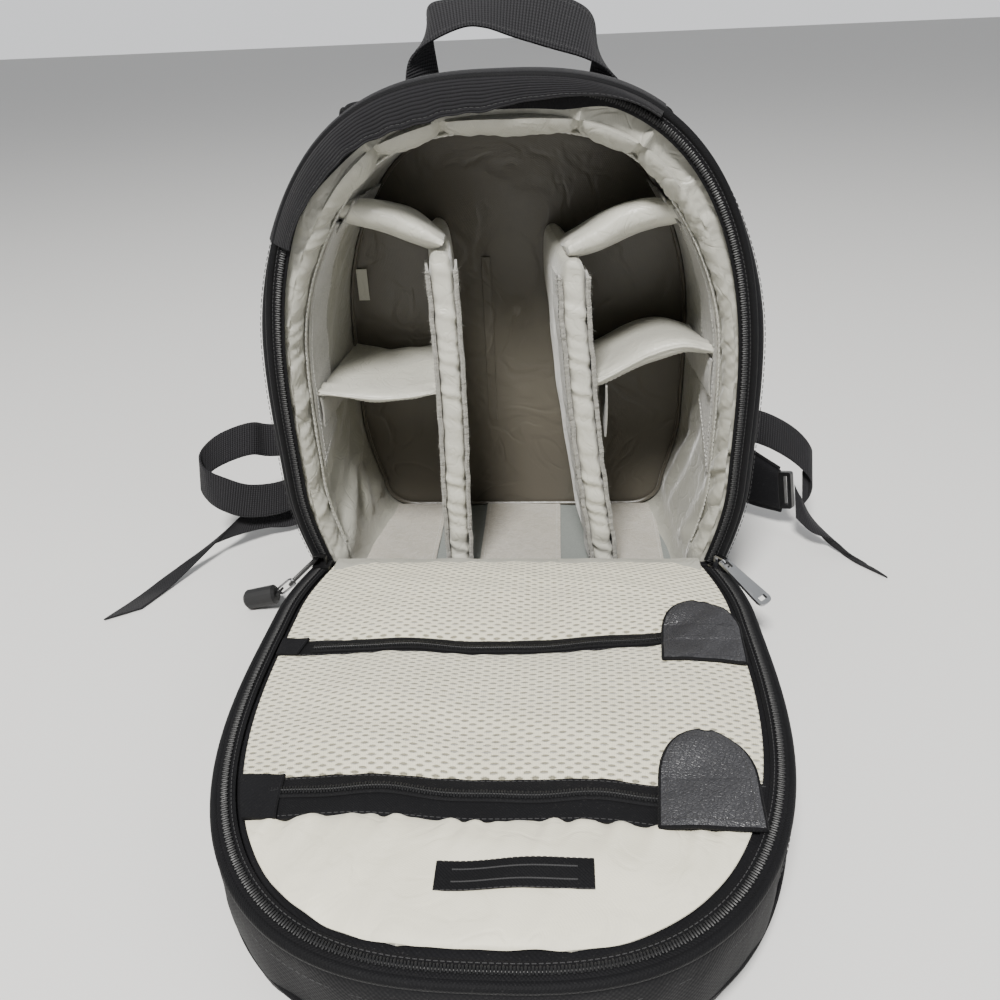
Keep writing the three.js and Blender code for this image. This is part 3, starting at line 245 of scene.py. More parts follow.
WEAVE = plain_weave()
RIBS = rib_weave()
CREASES = soft_creases()
LINT = lint()
HOLES = mesh_holes()


# Materials

def times(color, factor):
    return tuple(channel * factor for channel in color)


class Finish:
    """A material under construction: its tree, its shader and the maps of the piece."""

    def __init__(self, name, color, roughness, **constants):
        self.material = bpy.data.materials.new(name)
        self.material.use_nodes = True
        self.material.diffuse_color = (*color, 1.0)
        self.tree = self.material.node_tree
        self.shader = self.tree.nodes["Principled BSDF"]
        self.shader.inputs["Base Color"].default_value = (*color, 1.0)
        self.shader.inputs["Roughness"].default_value = roughness
        for label, value in constants.items():
            self.shader.inputs[label.replace("_", " ")].default_value = value
        coordinates = self.tree.nodes.new("ShaderNodeTexCoord")
        self.object = coordinates.outputs["Object"]
        self.uv = coordinates.outputs["UV"]

    def group(self, group, vector, **values):
        node = self.tree.nodes.new("ShaderNodeGroup")
        node.node_tree = group
        self.tree.links.new(vector, node.inputs["Vector"])
        for label, value in values.items():
            node.inputs[label].default_value = value
        return node

    def bump(self, height, distance, strength=1.0, under=None):
        node = self.tree.nodes.new("ShaderNodeBump")
        node.inputs["Strength"].default_value = strength
        node.inputs["Distance"].default_value = distance
        self.tree.links.new(height, node.inputs["Height"])
        if under is not None:
            self.tree.links.new(under, node.inputs["Normal"])
        self.tree.links.new(node.outputs["Normal"], self.shader.inputs["Normal"])
        return node.outputs["Normal"]

    def tint(self, mask, other, share=1.0):
        """Mixes the base colour towards another where the mask is 1."""
        node = self.tree.nodes.new("ShaderNodeMix")
        node.data_type = "RGBA"
        scaled = math_node(self.tree, "MULTIPLY", mask, share)
        factor, first, second = (node.inputs[k] for k in (0, 6, 7))
        self.tree.links.new(scaled, factor)
        base = self.shader.inputs["Base Color"]
        if base.links:
            self.tree.links.new(base.links[0].from_socket, first)
        else:
            first.default_value = base.default_value
        second.default_value = (*other, 1.0)
        self.tree.links.new(node.outputs[2], base)

    def rough(self, value, low, high):
        mapped = remap(self.tree, value, 0.0, 1.0, low, high)
        self.tree.links.new(mapped, self.shader.inputs["Roughness"])


def woven_black(name, color, threads, roughness=0.8, specks=0.35):
    """Black woven cloth: weave on the UV map, lint and paler worn patches on object coordinates."""
    made = Finish(name, color, roughness, Specular_IOR_Level=0.14, Sheen_Weight=0.03, Sheen_Roughness=0.5)
    weave = made.group(WEAVE, made.uv, Threads=threads)
    dirt = made.group(LINT, made.object, Amount=specks)
    made.tint(weave.outputs["Yarn"], times(color, 2.1), 0.45)
    made.tint(dirt.outputs["Patches"], times(color, 2.6), 0.3)
    made.tint(dirt.outputs["Mask"], (0.09, 0.088, 0.085))
    creases = made.group(CREASES, made.object, Scale=16.0, Sharpness=0.2)
    soft = made.bump(creases.outputs["Height"], 0.0014, 0.5)
    made.bump(weave.outputs["Height"], 0.00028, 0.7, soft)
    return made.material


def satin(name, color, shade, roughness=0.44, crease=18.0, depth=0.0022):
    """Satin lining: fine slanted weave, soft creases with painted shade along their fold lines, and a little
    soiling in patches and grains.
    """
    made = Finish(name, color, roughness, Sheen_Weight=0.35, Sheen_Roughness=0.35)
    weave = made.group(WEAVE, made.uv, Threads=1500.0, Stretch=0.7)
    creases = made.group(CREASES, made.object, Scale=crease, Sharpness=0.5)
    dirt = made.group(LINT, made.object, Amount=0.2, Scale=500.0)
    # painted shade: the satin is darkened along the crease fold lines
    made.tint(creases.outputs["Mask"], shade, 0.06)
    made.tint(dirt.outputs["Patches"], shade, 0.14)
    made.tint(dirt.outputs["Mask"], times(shade, 0.6), 0.5)
    made.rough(weave.outputs["Yarn"], roughness - 0.08, roughness + 0.12)
    soft = made.bump(creases.outputs["Height"], depth, 0.6)
    made.bump(weave.outputs["Height"], 0.00012, 0.5, soft)
    return made.material


def loop_pile(name, color, shade):
    """Fuzzy loop cloth: a dense coarse noise stands for the pile, painted darker in its hollows as painted
    shade, with worn and matted patches.
    """
    made = Finish(name, color, 0.95, Sheen_Weight=0.6, Sheen_Roughness=0.6)
    pile = noise(made.tree, made.object, 950.0, 4.0, 0.75, 1.5)
    clumps = noise(made.tree, made.object, 190.0, 3.0, 0.6, 0.8)
    wide = noise(made.tree, made.object, 22.0, 3.0, 0.6)
    made.tint(remap(made.tree, clumps, 0.4, 0.62), shade, 0.4)
    # painted shade: darker where the pile noise is low, in the hollows between the loops
    made.tint(remap(made.tree, pile, 0.5, 0.66, 1.0, 0.0), times(shade, 0.55), 0.42)
    made.tint(remap(made.tree, wide, 0.45, 0.75), shade, 0.35)
    soft = made.bump(clumps, 0.0012, 0.7)
    made.bump(pile, 0.0007, 0.9, soft)
    return made.material


def air_mesh(name, color, hole):
    """Knitted spacer mesh: ellipse holes on the UV map show the darker layer below; the knit's grooves carry
    painted shade.
    """
    made = Finish(name, color, 0.82, Sheen_Weight=0.3, Sheen_Roughness=0.5)
    holes = made.group(HOLES, made.uv)
    knit = made.group(RIBS, made.uv, Ribs=900.0, Threads=1500.0)
    wide = noise(made.tree, made.object, 26.0, 3.0, 0.6)
    made.tint(remap(made.tree, wide, 0.4, 0.75), (0.6, 0.56, 0.42), 0.3)
    # painted shade: darker in the grooves of the knit
    made.tint(knit.outputs["Groove"], times(color, 0.72), 0.35)
    made.tint(holes.outputs["Hole"], hole, 0.86)
    soft = made.bump(holes.outputs["Height"], 0.0011, 0.9)
    made.bump(knit.outputs["Height"], 0.00022, 0.6, soft)
    return made.material


def rib_cloth(name, color, ribs, threads, depth=0.0005, roughness=0.72):
    """Webbing: ribs across the length on the UV map, with a painted highlight on the ridges, painted shade
    in the grooves and lint specks.
    """
    made = Finish(name, color, roughness, Specular_IOR_Level=0.2, Sheen_Weight=0.05, Sheen_Roughness=0.4)
    weave = made.group(RIBS, made.uv, Ribs=ribs, Threads=threads, Depth=0.6)
    dirt = made.group(LINT, made.object, Amount=0.35)
    # painted highlight on the rib ridges, then painted shade in the grooves
    made.tint(weave.outputs["Height"], times(color, 2.4), 0.4)
    made.tint(weave.outputs["Groove"], times(color, 0.4), 0.7)
    made.tint(dirt.outputs["Mask"], (0.09, 0.088, 0.085))
    made.bump(weave.outputs["Height"], depth, 0.9)
    return made.material


def leather(name):
    """Grained leather: two voronoi cell sizes for the grain, and wide rubbed patches painted paler as a
    painted sheen.
    """
    made = Finish(name, (0.034, 0.034, 0.038), 0.36, Specular_IOR_Level=0.6)
    cells = []
    for scale in (520.0, 1150.0):
        node = made.tree.nodes.new("ShaderNodeTexVoronoi")
        node.feature = "DISTANCE_TO_EDGE"
        node.inputs["Scale"].default_value = scale
        made.tree.links.new(made.object, node.inputs["Vector"])
        cells.append(remap(made.tree, node.outputs["Distance"], 0.0, 0.18))
    wide = noise(made.tree, made.object, 45.0, 4.0, 0.6, 0.6)
    grain = math_node(made.tree, "ADD", cells[0], math_node(made.tree, "MULTIPLY", cells[1], 0.4))
    # painted sheen: paler colour on the wide rubbed patches, which are also rougher
    made.tint(remap(made.tree, wide, 0.45, 0.7), (0.05, 0.051, 0.056), 0.5)
    made.tint(remap(made.tree, cells[0], 0.0, 0.6, 1.0, 0.0), (0.012, 0.012, 0.014), 0.5)
    made.rough(wide, 0.24, 0.42)
    soft = made.bump(wide, 0.0006, 0.5)
    made.bump(grain, 0.00025, 0.7, soft)
    return made.material


def moulded(name, color, roughness, metallic=0.0, grain=900.0, depth=0.00008, worn=None):
    """Hard trim: a fine cast grain, and worn paler patches where a wide noise peaks."""
    made = Finish(name, color, roughness, Metallic=metallic)
    fine = noise(made.tree, made.object, grain, 3.0, 0.6)
    wide = noise(made.tree, made.object, 130.0, 4.0, 0.65)
    made.rough(wide, max(roughness - 0.1, 0.08), roughness + 0.14)
    made.tint(remap(made.tree, wide, 0.5, 0.75), worn or times(color, 1.7), 0.5)
    made.bump(fine, depth, 0.6)
    return made.material


MATERIALS = {
    "black_fabric": woven_black("black_fabric", (0.0042, 0.0042, 0.005), 900.0),
    "black_tape": woven_black("black_tape", (0.003, 0.003, 0.0036), 1300.0, 0.7, 0.2),
    "flap_ribbed": rib_cloth("flap_ribbed", (0.0085, 0.0083, 0.0096), 760.0, 1700.0, 0.0005, 0.7),
    # painted shade: grey_satin is the dividers' satin made darker for the lining inside the body
    "grey_satin": satin("grey_satin", (0.36, 0.355, 0.31), (0.21, 0.207, 0.18), 0.42, 18.0, 0.0024),
    "divider_satin": satin("divider_satin", (0.5, 0.492, 0.43), (0.3, 0.296, 0.26), 0.4, 26.0, 0.0016),
    "floor_satin": satin("floor_satin", (0.2, 0.215, 0.205), (0.12, 0.13, 0.125), 0.5, 40.0, 0.001),
    "dark_lining": satin("dark_lining", (0.1, 0.09, 0.071), (0.06, 0.054, 0.043), 0.34, 8.0, 0.0022),
    "cream_satin": satin("cream_satin", (0.76, 0.725, 0.585), (0.53, 0.5, 0.38), 0.48, 12.0, 0.0016),
    "loop_fabric": loop_pile("loop_fabric", (0.36, 0.35, 0.305), (0.19, 0.184, 0.16)),
    "floor_loop": loop_pile("floor_loop", (0.42, 0.38, 0.305), (0.26, 0.232, 0.18)),
    "air_mesh": air_mesh("air_mesh", (0.72, 0.68, 0.53), (0.2, 0.185, 0.125)),
    "leather": leather("leather"),
    "webbing": rib_cloth("webbing", (0.012, 0.0118, 0.0132), 520.0, 640.0),
    "thread_grey": rib_cloth("thread_grey", (0.36, 0.36, 0.34), 1500.0, 900.0, 0.0001, 0.8),
    "thread_dark": rib_cloth("thread_dark", (0.028, 0.028, 0.029), 1500.0, 900.0, 0.0001, 0.8),
    "black_plastic": moulded("black_plastic", (0.006, 0.006, 0.0065), 0.36),
    "zip_teeth": moulded("zip_teeth", (0.004, 0.004, 0.0046), 0.5),
    "rubber": moulded("rubber", (0.009, 0.009, 0.0095), 0.6, 0.0, 700.0, 0.0002),
    "dark_chrome": moulded("dark_chrome", (0.24, 0.24, 0.25), 0.24, 1.0, 500.0, 0.00005, (0.5, 0.5, 0.5)),
    "grey_metal": moulded("grey_metal", (0.46, 0.47, 0.48), 0.36, 1.0, 700.0, 0.00012, (0.66, 0.66, 0.66)),
}


# Mesh parts: each is (vertices, quads, uv of each corner)

def smooth(table, count):
    """Catmull-Rom curve through the rows of a table: count rows at even steps of the row number."""
    table = np.asarray(table, float)
    at = np.linspace(0, len(table) - 1, count)
    k = np.minimum(at.astype(int), len(table) - 2)
    f = (at - k)[:, None]
    p = np.vstack([2 * table[:1] - table[1:2], table, 2 * table[-1:] - table[-2:-1]])
    a, b, c, d = p[k], p[k + 1], p[k + 2], p[k + 3]
    return b + 0.5 * f * (c - a + f * (2 * a - 5 * b + 4 * c - d + f * (3 * (b - c) + d - a)))


def run_lengths(points):
    """Distance of each point from the first, measured along the line."""
    return np.concatenate([[0], np.cumsum(np.linalg.norm(np.diff(points, axis=0), axis=1))])


def picked(at, lengths, values):
    """Values of a line's points between its points, at the given lengths along it."""
    return np.stack([np.interp(at, lengths, values[:, k]) for k in range(values.shape[1])], 1)


def same(direction, count):
    """One direction, repeated for count places."""
    return np.tile(np.asarray(direction, float), (count, 1))


def even(points, count):
    """The same line of points with count points at equal distances along it."""
    lengths = run_lengths(points)
    at = np.linspace(0, lengths[-1], count)
    return picked(at, lengths, points)


def unit(vectors):
    return vectors / np.maximum(np.linalg.norm(vectors, axis=-1, keepdims=True), 1e-9)


def normals(points):
    """Unit normal of a grid: the cross product of its two central differences."""
    return unit(np.cross(np.gradient(points, axis=0), np.gradient(points, axis=1)))


def grid(points, wrap=False, joined=False, capped=False):
    """Quads between neighbours of an n by m grid; wrap joins the last column to the first, joined the
    last row to the first, and capped closes both end rows with strips between mirrored columns.
    The UV map holds the distances along the rows and columns in metres."""
    n, m = points.shape[:2]
    rows = np.arange(n if joined else n - 1)
    columns = np.arange(m if wrap else m - 1)
    j, k = np.meshgrid(rows, columns, indexing="ij")
    j2, k2 = (j + 1) % n, (k + 1) % m
    quads = np.stack([j * m + k, j * m + k2, j2 * m + k2, j2 * m + k], -1).reshape(-1, 4)
    ring = np.concatenate([points, points[:1]]) if joined else points
    across = np.concatenate([ring, ring[:, :1]], 1) if wrap else ring
    down = np.concatenate([[0], np.cumsum(np.linalg.norm(np.diff(across, axis=0), axis=2).mean(1))]) / 1000
    over = np.concatenate([[0], np.cumsum(np.linalg.norm(np.diff(across, axis=1), axis=2).mean(0))]) / 1000
    corners = [(j, k), (j, k + 1), (j + 1, k + 1), (j + 1, k)]
    uv = np.stack([np.stack([down[a], over[b]], -1) for a, b in corners], -2).reshape(-1, 4, 2)
    if capped:
        half = np.arange(m // 2 - 1)
        strip = np.stack([half, half + 1, m - 2 - half, m - 1 - half], -1)
        for cap in (strip, (strip + (n - 1) * m)[:, ::-1]):
            quads = np.concatenate([quads, cap])
            flat = points.reshape(-1, 3)[cap]
            uv = np.concatenate([uv, flat[..., :2] / 1000])
    return points.reshape(-1, 3), quads, uv


def volume(part):
    vertices, quads, _ = part
    a, b, c, d = (vertices[quads[:, k]] for k in range(4))
    return (np.einsum("ij,ij->i", a, np.cross(b, c)) + np.einsum("ij,ij->i", a, np.cross(c, d))).sum() / 6


def outward(part):
    """Turns the faces of a closed part round where its signed volume is negative."""
    vertices, quads, uv = part
    if volume(part) < 0:
        return vertices, quads[:, ::-1], uv[:, ::-1]
    return part


def loft(points):
    """Closed skin of a grid whose last column meets its first, with both end rows closed."""
    return outward(grid(points, wrap=True, capped=True))


def slab(points, thickness):
    """Closed sheet about a surface: it is moved half the thickness along its normals both ways, and
    its long edges get a chamfer of a third of the thickness."""
    half = normals(points) * thickness / 2
    first, last = half[:, :1], half[:, -1:]
    out = unit(points[:, :1] - points[:, 1:2]) * np.linalg.norm(first, axis=-1, keepdims=True) * 0.7
    far = unit(points[:, -1:] - points[:, -2:-1]) * np.linalg.norm(last, axis=-1, keepdims=True) * 0.7
    ring = np.concatenate([
        points[:, :1] + out + first * 0.4, points + half, points[:, -1:] + far + last * 0.4,
        points[:, -1:] + far - last * 0.4, (points - half)[:, ::-1], points[:, :1] + out - first * 0.4], 1)
    return loft(ring)


def rope(path, normal, width, height=None, sides=8, closed=False, twist=0.0, turns=0.0):
    """Tube along a path: an ellipse of the width across and the height along the given normals, its
    radius swollen by a twist of strands that turns along the path."""
    height = width if height is None else height
    tangent = np.roll(path, -1, 0) - np.roll(path, 1, 0) if closed else np.gradient(path, axis=0)
    tangent = unit(tangent)
    side = unit(np.cross(tangent, normal))
    up = np.cross(side, tangent)
    angle = (np.arange(sides) + 0.5) * 2 * np.pi / sides
    length = run_lengths(path)
    swell = 1 + twist * np.cos(2 * angle[None] + length[:, None] * turns)
    ring = (path[:, None] + side[:, None] * (np.cos(angle) * swell)[..., None] * width / 2
            + up[:, None] * (np.sin(angle) * swell)[..., None] * height / 2)
    return outward(grid(ring, wrap=True, joined=closed, capped=not closed))


def bar(length, width, height):
    """Small rounded bar along x: four hexagonal rings, the end ones at six tenths of the size."""
    angle = (np.arange(6) + 0.5) * np.pi / 3
    places = np.array([-0.5, -0.36, 0.36, 0.5]) * length
    sizes = np.array([0.6, 1, 1, 0.6])[:, None]
    ring = np.stack([np.broadcast_to(places[:, None], (4, 6)), np.cos(angle) * sizes * width / 2,
                     np.sin(angle) * sizes * height / 2], -1)
    return loft(ring)


def copies(part, places, along, across, up):
    """The part repeated at each place, its x, y and z axes laid on the three directions given there."""
    vertices, quads, uv = part
    count = len(places)
    along, across, up = (direction[:, None] for direction in (along, across, up))
    laid = places[:, None] + vertices[:, :1] * along + vertices[:, 1:2] * across + vertices[:, 2:] * up
    steps = np.arange(count)[:, None, None] * len(vertices)
    return laid.reshape(-1, 3), (quads[None] + steps).reshape(-1, 4), np.tile(uv, (count, 1, 1))


def spaced(path, normal, pitch, start=0.0, end=0.0):
    """Places along a path at an even pitch, with their tangent, side and normal."""
    lengths = run_lengths(path)
    at = np.arange(start + pitch / 2, lengths[-1] - end, pitch)
    place, up = picked(at, lengths, path), unit(picked(at, lengths, normal))
    tangent = unit(picked(at, lengths, unit(np.gradient(path, axis=0))))
    side = unit(np.cross(up, tangent))
    return place, tangent, side, np.cross(tangent, side)


def stitches(path, normal, pitch=3.2, length=2.3, width=0.55, lift=0.15):
    """A row of thread bars along a path, each lying a little proud of the cloth."""
    place, tangent, side, up = spaced(path, normal, pitch)
    return copies(bar(length, width, width * 0.8), place + up * lift, tangent, side, up)


def chain(path, normal, width=3.0, start=0.0, end=0.0):
    """Zip coil: bars across the tape at the tooth pitch, every other one moved a little sideways."""
    place, tangent, side, up = spaced(path, normal, TOOTH_PITCH, start, end)
    shift = np.where(np.arange(len(place)) % 2 == 0, 0.18, -0.18)[:, None]
    tooth = bar(width, TOOTH_PITCH * 0.82, 1.25)
    return copies(tooth, place + side * shift + up * 0.45, side, -tangent, up)


def fibres(places, directions, length, radius, seed, curl=0.8):
    """Loose hairs: four-sided tubes of four rings that start along a direction and curl at random."""
    rng = np.random.default_rng(seed)
    count = len(places)
    spread = rng.normal(size=(count, 4, 3)) * curl * np.arange(4)[None, :, None] / 3
    reach = length * rng.uniform(0.4, 1.0, (count, 1, 1))
    line = places[:, None] + (directions[:, None] * np.arange(4)[None, :, None] / 3 + spread * 0.5) * reach
    tangent = unit(np.gradient(line, axis=1))
    side = unit(np.cross(tangent, np.array([0.31, 0.52, 0.8])))
    up = np.cross(side, tangent)
    angle = np.arange(4) * np.pi / 2
    size = (radius * np.array([1, 1, 0.8, 0.4]))[None, :, None, None]
    around = side[:, :, None] * np.cos(angle)[:, None] + up[:, :, None] * np.sin(angle)[:, None]
    rings = line[:, :, None] + around * size
    local = grid(np.zeros((4, 4, 3)) + np.arange(4)[:, None, None], wrap=True, capped=True)
    steps = np.arange(count)[:, None, None] * 16
    return rings.reshape(-1, 3), (local[1][None] + steps).reshape(-1, 4), np.tile(local[2], (count, 1, 1))


def piece(name, parts, body="bag", stands_for=(), sharp=40):
    """One object from (part, material name) pairs; points are millimetres and become metres."""
    vertices, quads, uvs, indices, names = [], [], [], [], []
    offset = 0
    for part, material in parts:
        if material not in names:
            names.append(material)
        vertices.append(part[0])
        quads.append(part[1] + offset)
        uvs.append(part[2])
        indices.append(np.full(len(part[1]), names.index(material)))
        offset += len(part[0])
    vertices, quads = np.concatenate(vertices) / 1000, np.concatenate(quads)
    mesh = bpy.data.meshes.new(name)
    mesh.vertices.add(len(vertices))
    mesh.vertices.foreach_set("co", vertices.astype(np.float32).ravel())
    mesh.loops.add(quads.size)
    mesh.loops.foreach_set("vertex_index", quads.astype(np.int32).ravel())
    mesh.polygons.add(len(quads))
    mesh.polygons.foreach_set("loop_start", np.arange(0, quads.size, 4, dtype=np.int32))
    mesh.uv_layers.new(name="UVMap").data.foreach_set("uv", np.concatenate(uvs).astype(np.float32).ravel())
    mesh.polygons.foreach_set("material_index", np.concatenate(indices).astype(np.int32))
    mesh.polygons.foreach_set("use_smooth", np.ones(len(quads), bool))
    mesh.update(calc_edges=True)
    mesh.set_sharp_from_angle(angle=math.radians(sharp))
    for label in names:
        mesh.materials.append(MATERIALS[label])
    made = bpy.data.objects.new(name, mesh)
    SCENE.collection.objects.link(made)
    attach(made, body)
    if stands_for:
        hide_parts(*stands_for)
    return made


def waves(at, spacing, seed, count=7):
    """Uneven waves from -1 to 1: a sum of sines whose lengths scatter about the spacing."""
    rng = np.random.default_rng(seed)
    total = np.zeros_like(at, dtype=float)
    for scale, phase in zip(rng.uniform(0.55, 1.8, count), rng.uniform(0, 2 * np.pi, count)):
        total += np.sin(at * 2 * np.pi / (spacing * scale) + phase)
    return total / count ** 0.5 / 1.2


def step(value, low, high):
    share = np.clip((value - low) / (high - low), 0, 1)
    return share * share * (3 - 2 * share)


# Outline of the mouth

def half_outline():
    """Right half of the zip line: the side widens as a sine, then a superellipse makes the arch."""
    up = ARCH_START * np.arange(400) / 400
    wide = HINGE_HALF + (MOUTH_HALF - HINGE_HALF) * np.sin(np.minimum(up / SIDE_RISE, 1) * np.pi / 2)
    angle = np.linspace(0, np.pi / 2, 801)
    x = np.concatenate([wide, MOUTH_HALF * np.maximum(np.cos(angle), 0) ** (2 / POWER_ACROSS)])
    z = np.concatenate([up, ARCH_START + (MOUTH_HEIGHT - ARCH_START) * np.sin(angle) ** (2 / POWER_UP)])
    return even(np.stack([x, z], 1), 801)


OUTLINE = half_outline()
HALF_LENGTH = np.linalg.norm(np.diff(OUTLINE, axis=0), axis=1).sum()
ARC = np.linspace(0, HALF_LENGTH, len(OUTLINE))
SLOPE = unit(np.gradient(OUTLINE, axis=0))
SLOPE[0], SLOPE[-1] = (0, 1), (-1, 0)


class Ring:
    """Places round an outline: x, height above the hinge, normal, and for the part below the hinge the
    side, the turn of the corner and the share of the way to the middle."""

    def __init__(self, share, sign=None, turn=None, inward=None):
        share = np.asarray(share, float)
        right = share <= 0.5
        distance = np.where(right, share, 1 - share) * 2 * HALF_LENGTH
        side = np.where(right, 1.0, -1.0)
        self.x = side * np.interp(distance, ARC, OUTLINE[:, 0])
        self.up = np.interp(distance, ARC, OUTLINE[:, 1])
        self.nx = side * np.interp(distance, ARC, SLOPE[:, 1])
        self.nz = -np.interp(distance, ARC, SLOPE[:, 0])
        self.length = share * 2 * HALF_LENGTH
        self.below = np.zeros(len(share), bool) if turn is None else np.isfinite(turn)
        self.sign = side if sign is None else sign
        self.turn = np.zeros(len(share)) if turn is None else np.where(self.below, turn, 0.0)
        self.inward = np.zeros(len(share)) if inward is None else inward

    def columns(self):
        return (value[:, None] for value in (
            self.x, self.up, self.nx, self.nz, self.below, self.sign, self.turn, self.inward))


def full_ring(upper, corner=10, flat=14):
    """From the middle of the underside round the right side, over the crown and back to the middle."""
    turns = np.linspace(np.pi / 2, 0, corner + 1)[:-1]
    inwards = np.linspace(1, 0, flat + 1)[:-1]
    nothing = np.full(upper, np.nan)
    turn = np.concatenate([np.full(flat, np.pi / 2), turns, nothing, turns[::-1], np.full(flat, np.pi / 2)])
    inward = np.concatenate([inwards, np.zeros(corner + upper + corner), inwards[::-1]])
    share = np.concatenate([np.zeros(flat + corner), np.linspace(0, 1, upper), np.ones(corner + flat)])
    sign = np.where(np.arange(len(share)) < len(share) / 2, 1.0, -1.0)
    return Ring(share, sign, turn, inward)


def body_points(ring, rows, corner=BOTTOM_CORNER):
    """Grid on the body: rows hold y, side, crown and floor. The zip line is moved out by side, or by
    crown over the arch, and sinks a little with depth; under the hinge it is a rounded rectangle."""
    x, up, nx, nz, below, sign, turn, inward = ring.columns()
    y, side, crown, floor = (np.asarray(rows, float)[:, k][None] for k in range(4))
    offset = side + (crown - side) * step(up, CROWN_START, CROWN_END)
    fall = CROWN_FALL * (y - FRONT_Y) / BODY_DEPTH * up / MOUTH_HEIGHT
    high_x, high_z = x + nx * offset, HINGE_HEIGHT + up + nz * offset - fall
    low_x = sign * (HINGE_HALF + side - corner * (1 - np.cos(turn))) * (1 - inward)
    low_z = HINGE_HEIGHT - (HINGE_HEIGHT - floor) * np.sin(turn)
    return np.stack([np.where(below, low_x, high_x), np.broadcast_to(y, high_x.shape),
                     np.where(below, low_z, high_z)], -1)


def body_line(ring, *row):
    """Line on the body, from one row."""
    return body_points(ring, [row])[:, 0]


def lid_height(along):
    return HINGE_HEIGHT + LID_RISE * along / MOUTH_HEIGHT


def lid_points(ring, rows):
    """Grid on the lid: rows hold side, start, depth and lift. Depth 0 is the zip plane, 1 the floor."""
    x, up, nx, nz, below, sign, turn, inward = ring.columns()
    side, start, depth, lift = (np.asarray(rows, float)[:, k][None] for k in range(4))
    along = start + (up + nz * side) * (MOUTH_HEIGHT - start) / MOUTH_HEIGHT
    along = np.where(below, start, along)
    low_x = sign * (HINGE_HALF + side - BOTTOM_CORNER * (1 - np.cos(turn))) * (1 - inward)
    z = lid_height(along) * (1 - depth) + lift
    return np.stack([np.where(below, low_x, x + nx * side), FRONT_Y + 1 - along * LID_STRETCH, z], -1)


def lid_line(ring, *row):
    """Line on the lid, from one row."""
    return lid_points(ring, [row])[:, 0]


def share_at(up, left=False):
    """Share of the zip line at a height above the hinge."""
    share = np.interp(up, OUTLINE[:, 1], ARC) / HALF_LENGTH / 2
    return 1 - share if left else share


def moved(points, distance, towards):
    """Points moved along their grid normals, turned to face the given direction."""
    normal = normals(points)
    facing = np.sign((normal * towards).sum(-1, keepdims=True))
    return points + normal * np.where(facing == 0, 1, facing) * distance[..., None]


# Body

# Depth, bulge of the sides, bulge of the crown, share of the floor's height
SHELL_SECTIONS = [
    (0, 0.17, 0.3, 1), (0.022, 0.75, 1, 0.02), (0.12, 0.92, 1, 0), (0.38, 1, 1, 0), (0.7, 1, 0.8, 0),
    (0.88, 0.75, 0.3, 0), (0.965, 0.08, -1, 0.08), (1, -1, -3.5, 0.4),
]


def shell_rows(count, inward):
    depth, bulge, crown, floor = smooth(SHELL_SECTIONS, count).T
    y = FRONT_Y + BODY_DEPTH * depth + inward * (1 - 2 * depth)
    low = np.maximum(HINGE_HEIGHT * np.maximum(floor, 0) + inward * (floor < 0.9), inward)
    return np.stack([y, SIDE_BULGE * bulge - inward, CROWN_BULGE * crown - inward, low], 1)


def make_shell():
    """Outer and inner skins of the body in one closed loft round the ring, with soft dents."""
    ring = full_ring(220)
    outer_rows = 70
    rows = np.concatenate([shell_rows(outer_rows, 0)[::-1], shell_rows(24, SHELL_WALL)])
    points = body_points(ring, rows)
    around, depth = ring.length[:, None], rows[None, :, 0]
    outside = np.arange(len(rows))[None] < outer_rows
    dent = waves(around + depth * 0.7, 70, 3) * 0.8 + waves(depth * 1.3 - around * 0.2, 38, 5) * 0.5
    dent = dent * ~ring.below[:, None] * step(depth, -62, -35) * outside
    middle = np.array([0.0, 5.0, 190.0])
    points = moved(points, dent, points - middle)
    piece("shell_cloth", [(loft(points.transpose(1, 0, 2)), "black_fabric")],
          stands_for=["outer_shell"])
    shares = np.linspace(0.004, 0.996, 420)
    ring = Ring(shares)
    edge = body_line(ring, -66.6, 3.4, 3.4, 0)
    seam = body_line(ring, 34.0, 12.3, 4.6, 0)
    sewn = body_line(ring, -61.5, 10.3, 5.2, 0)
    front = same(FORWARD, len(edge))
    away = np.stack([ring.nx, np.zeros(len(shares)), ring.nz], 1)
    piece("shell_piping", [
        (rope(edge, front, 4.4, 4.2, 10), "black_tape"), (rope(seam, away, 3.4, 3.0, 8), "black_tape"),
        (stitches(sewn, away, 3.6, 2.5, 0.6), "thread_dark")])


# Lining: y, side, crown, floor, corner
LINING_OUTER = [(-60.4, -1.2, -1.2, 10, 25), (-58, 7, 2.3, 3, 25), (-48, 8.5, 2.5, 2.5, 25),
                (-12, 9.5, 2.5, 2.5, 25), (32, 9.5, 1.5, 2.5, 25), (48.9, 7, -0.4, 3, 25)]
LINING_INNER = [(49.2, -19.6, -24, 20.4, 20), (22, -18.4, -24, 20.2, 16), (-10, -16.6, -23.2, 20, 10),
                (-40, -14.2, -22.6, 20, 7), (-49.5, -13.3, -22.6, 20, 6), (SEAM_Y, -12, -21, 20, 6),
                (-55.2, -12.6, -21.6, 19.6, 6), (-59.5, -11.6, -20, 19, 6), (-62.8, -8.4, -16.5, 17.5, 6),
                (-63.4, -5, -10.5, 15.5, 10), (-62.6, -2.2, -4.2, 13, 18)]
# Distance of the ceiling's gather seams from the middle
GATHERS = (-76.0, -34.0, 43.0, 82.0)


def gather_lengths():
    """Distance along the zip line of each gather seam of the ceiling roll."""
    side = np.interp(-np.abs(GATHERS), -OUTLINE[:, 0], ARC)
    return np.where(np.array(GATHERS) > 0, side, 2 * HALF_LENGTH - side)


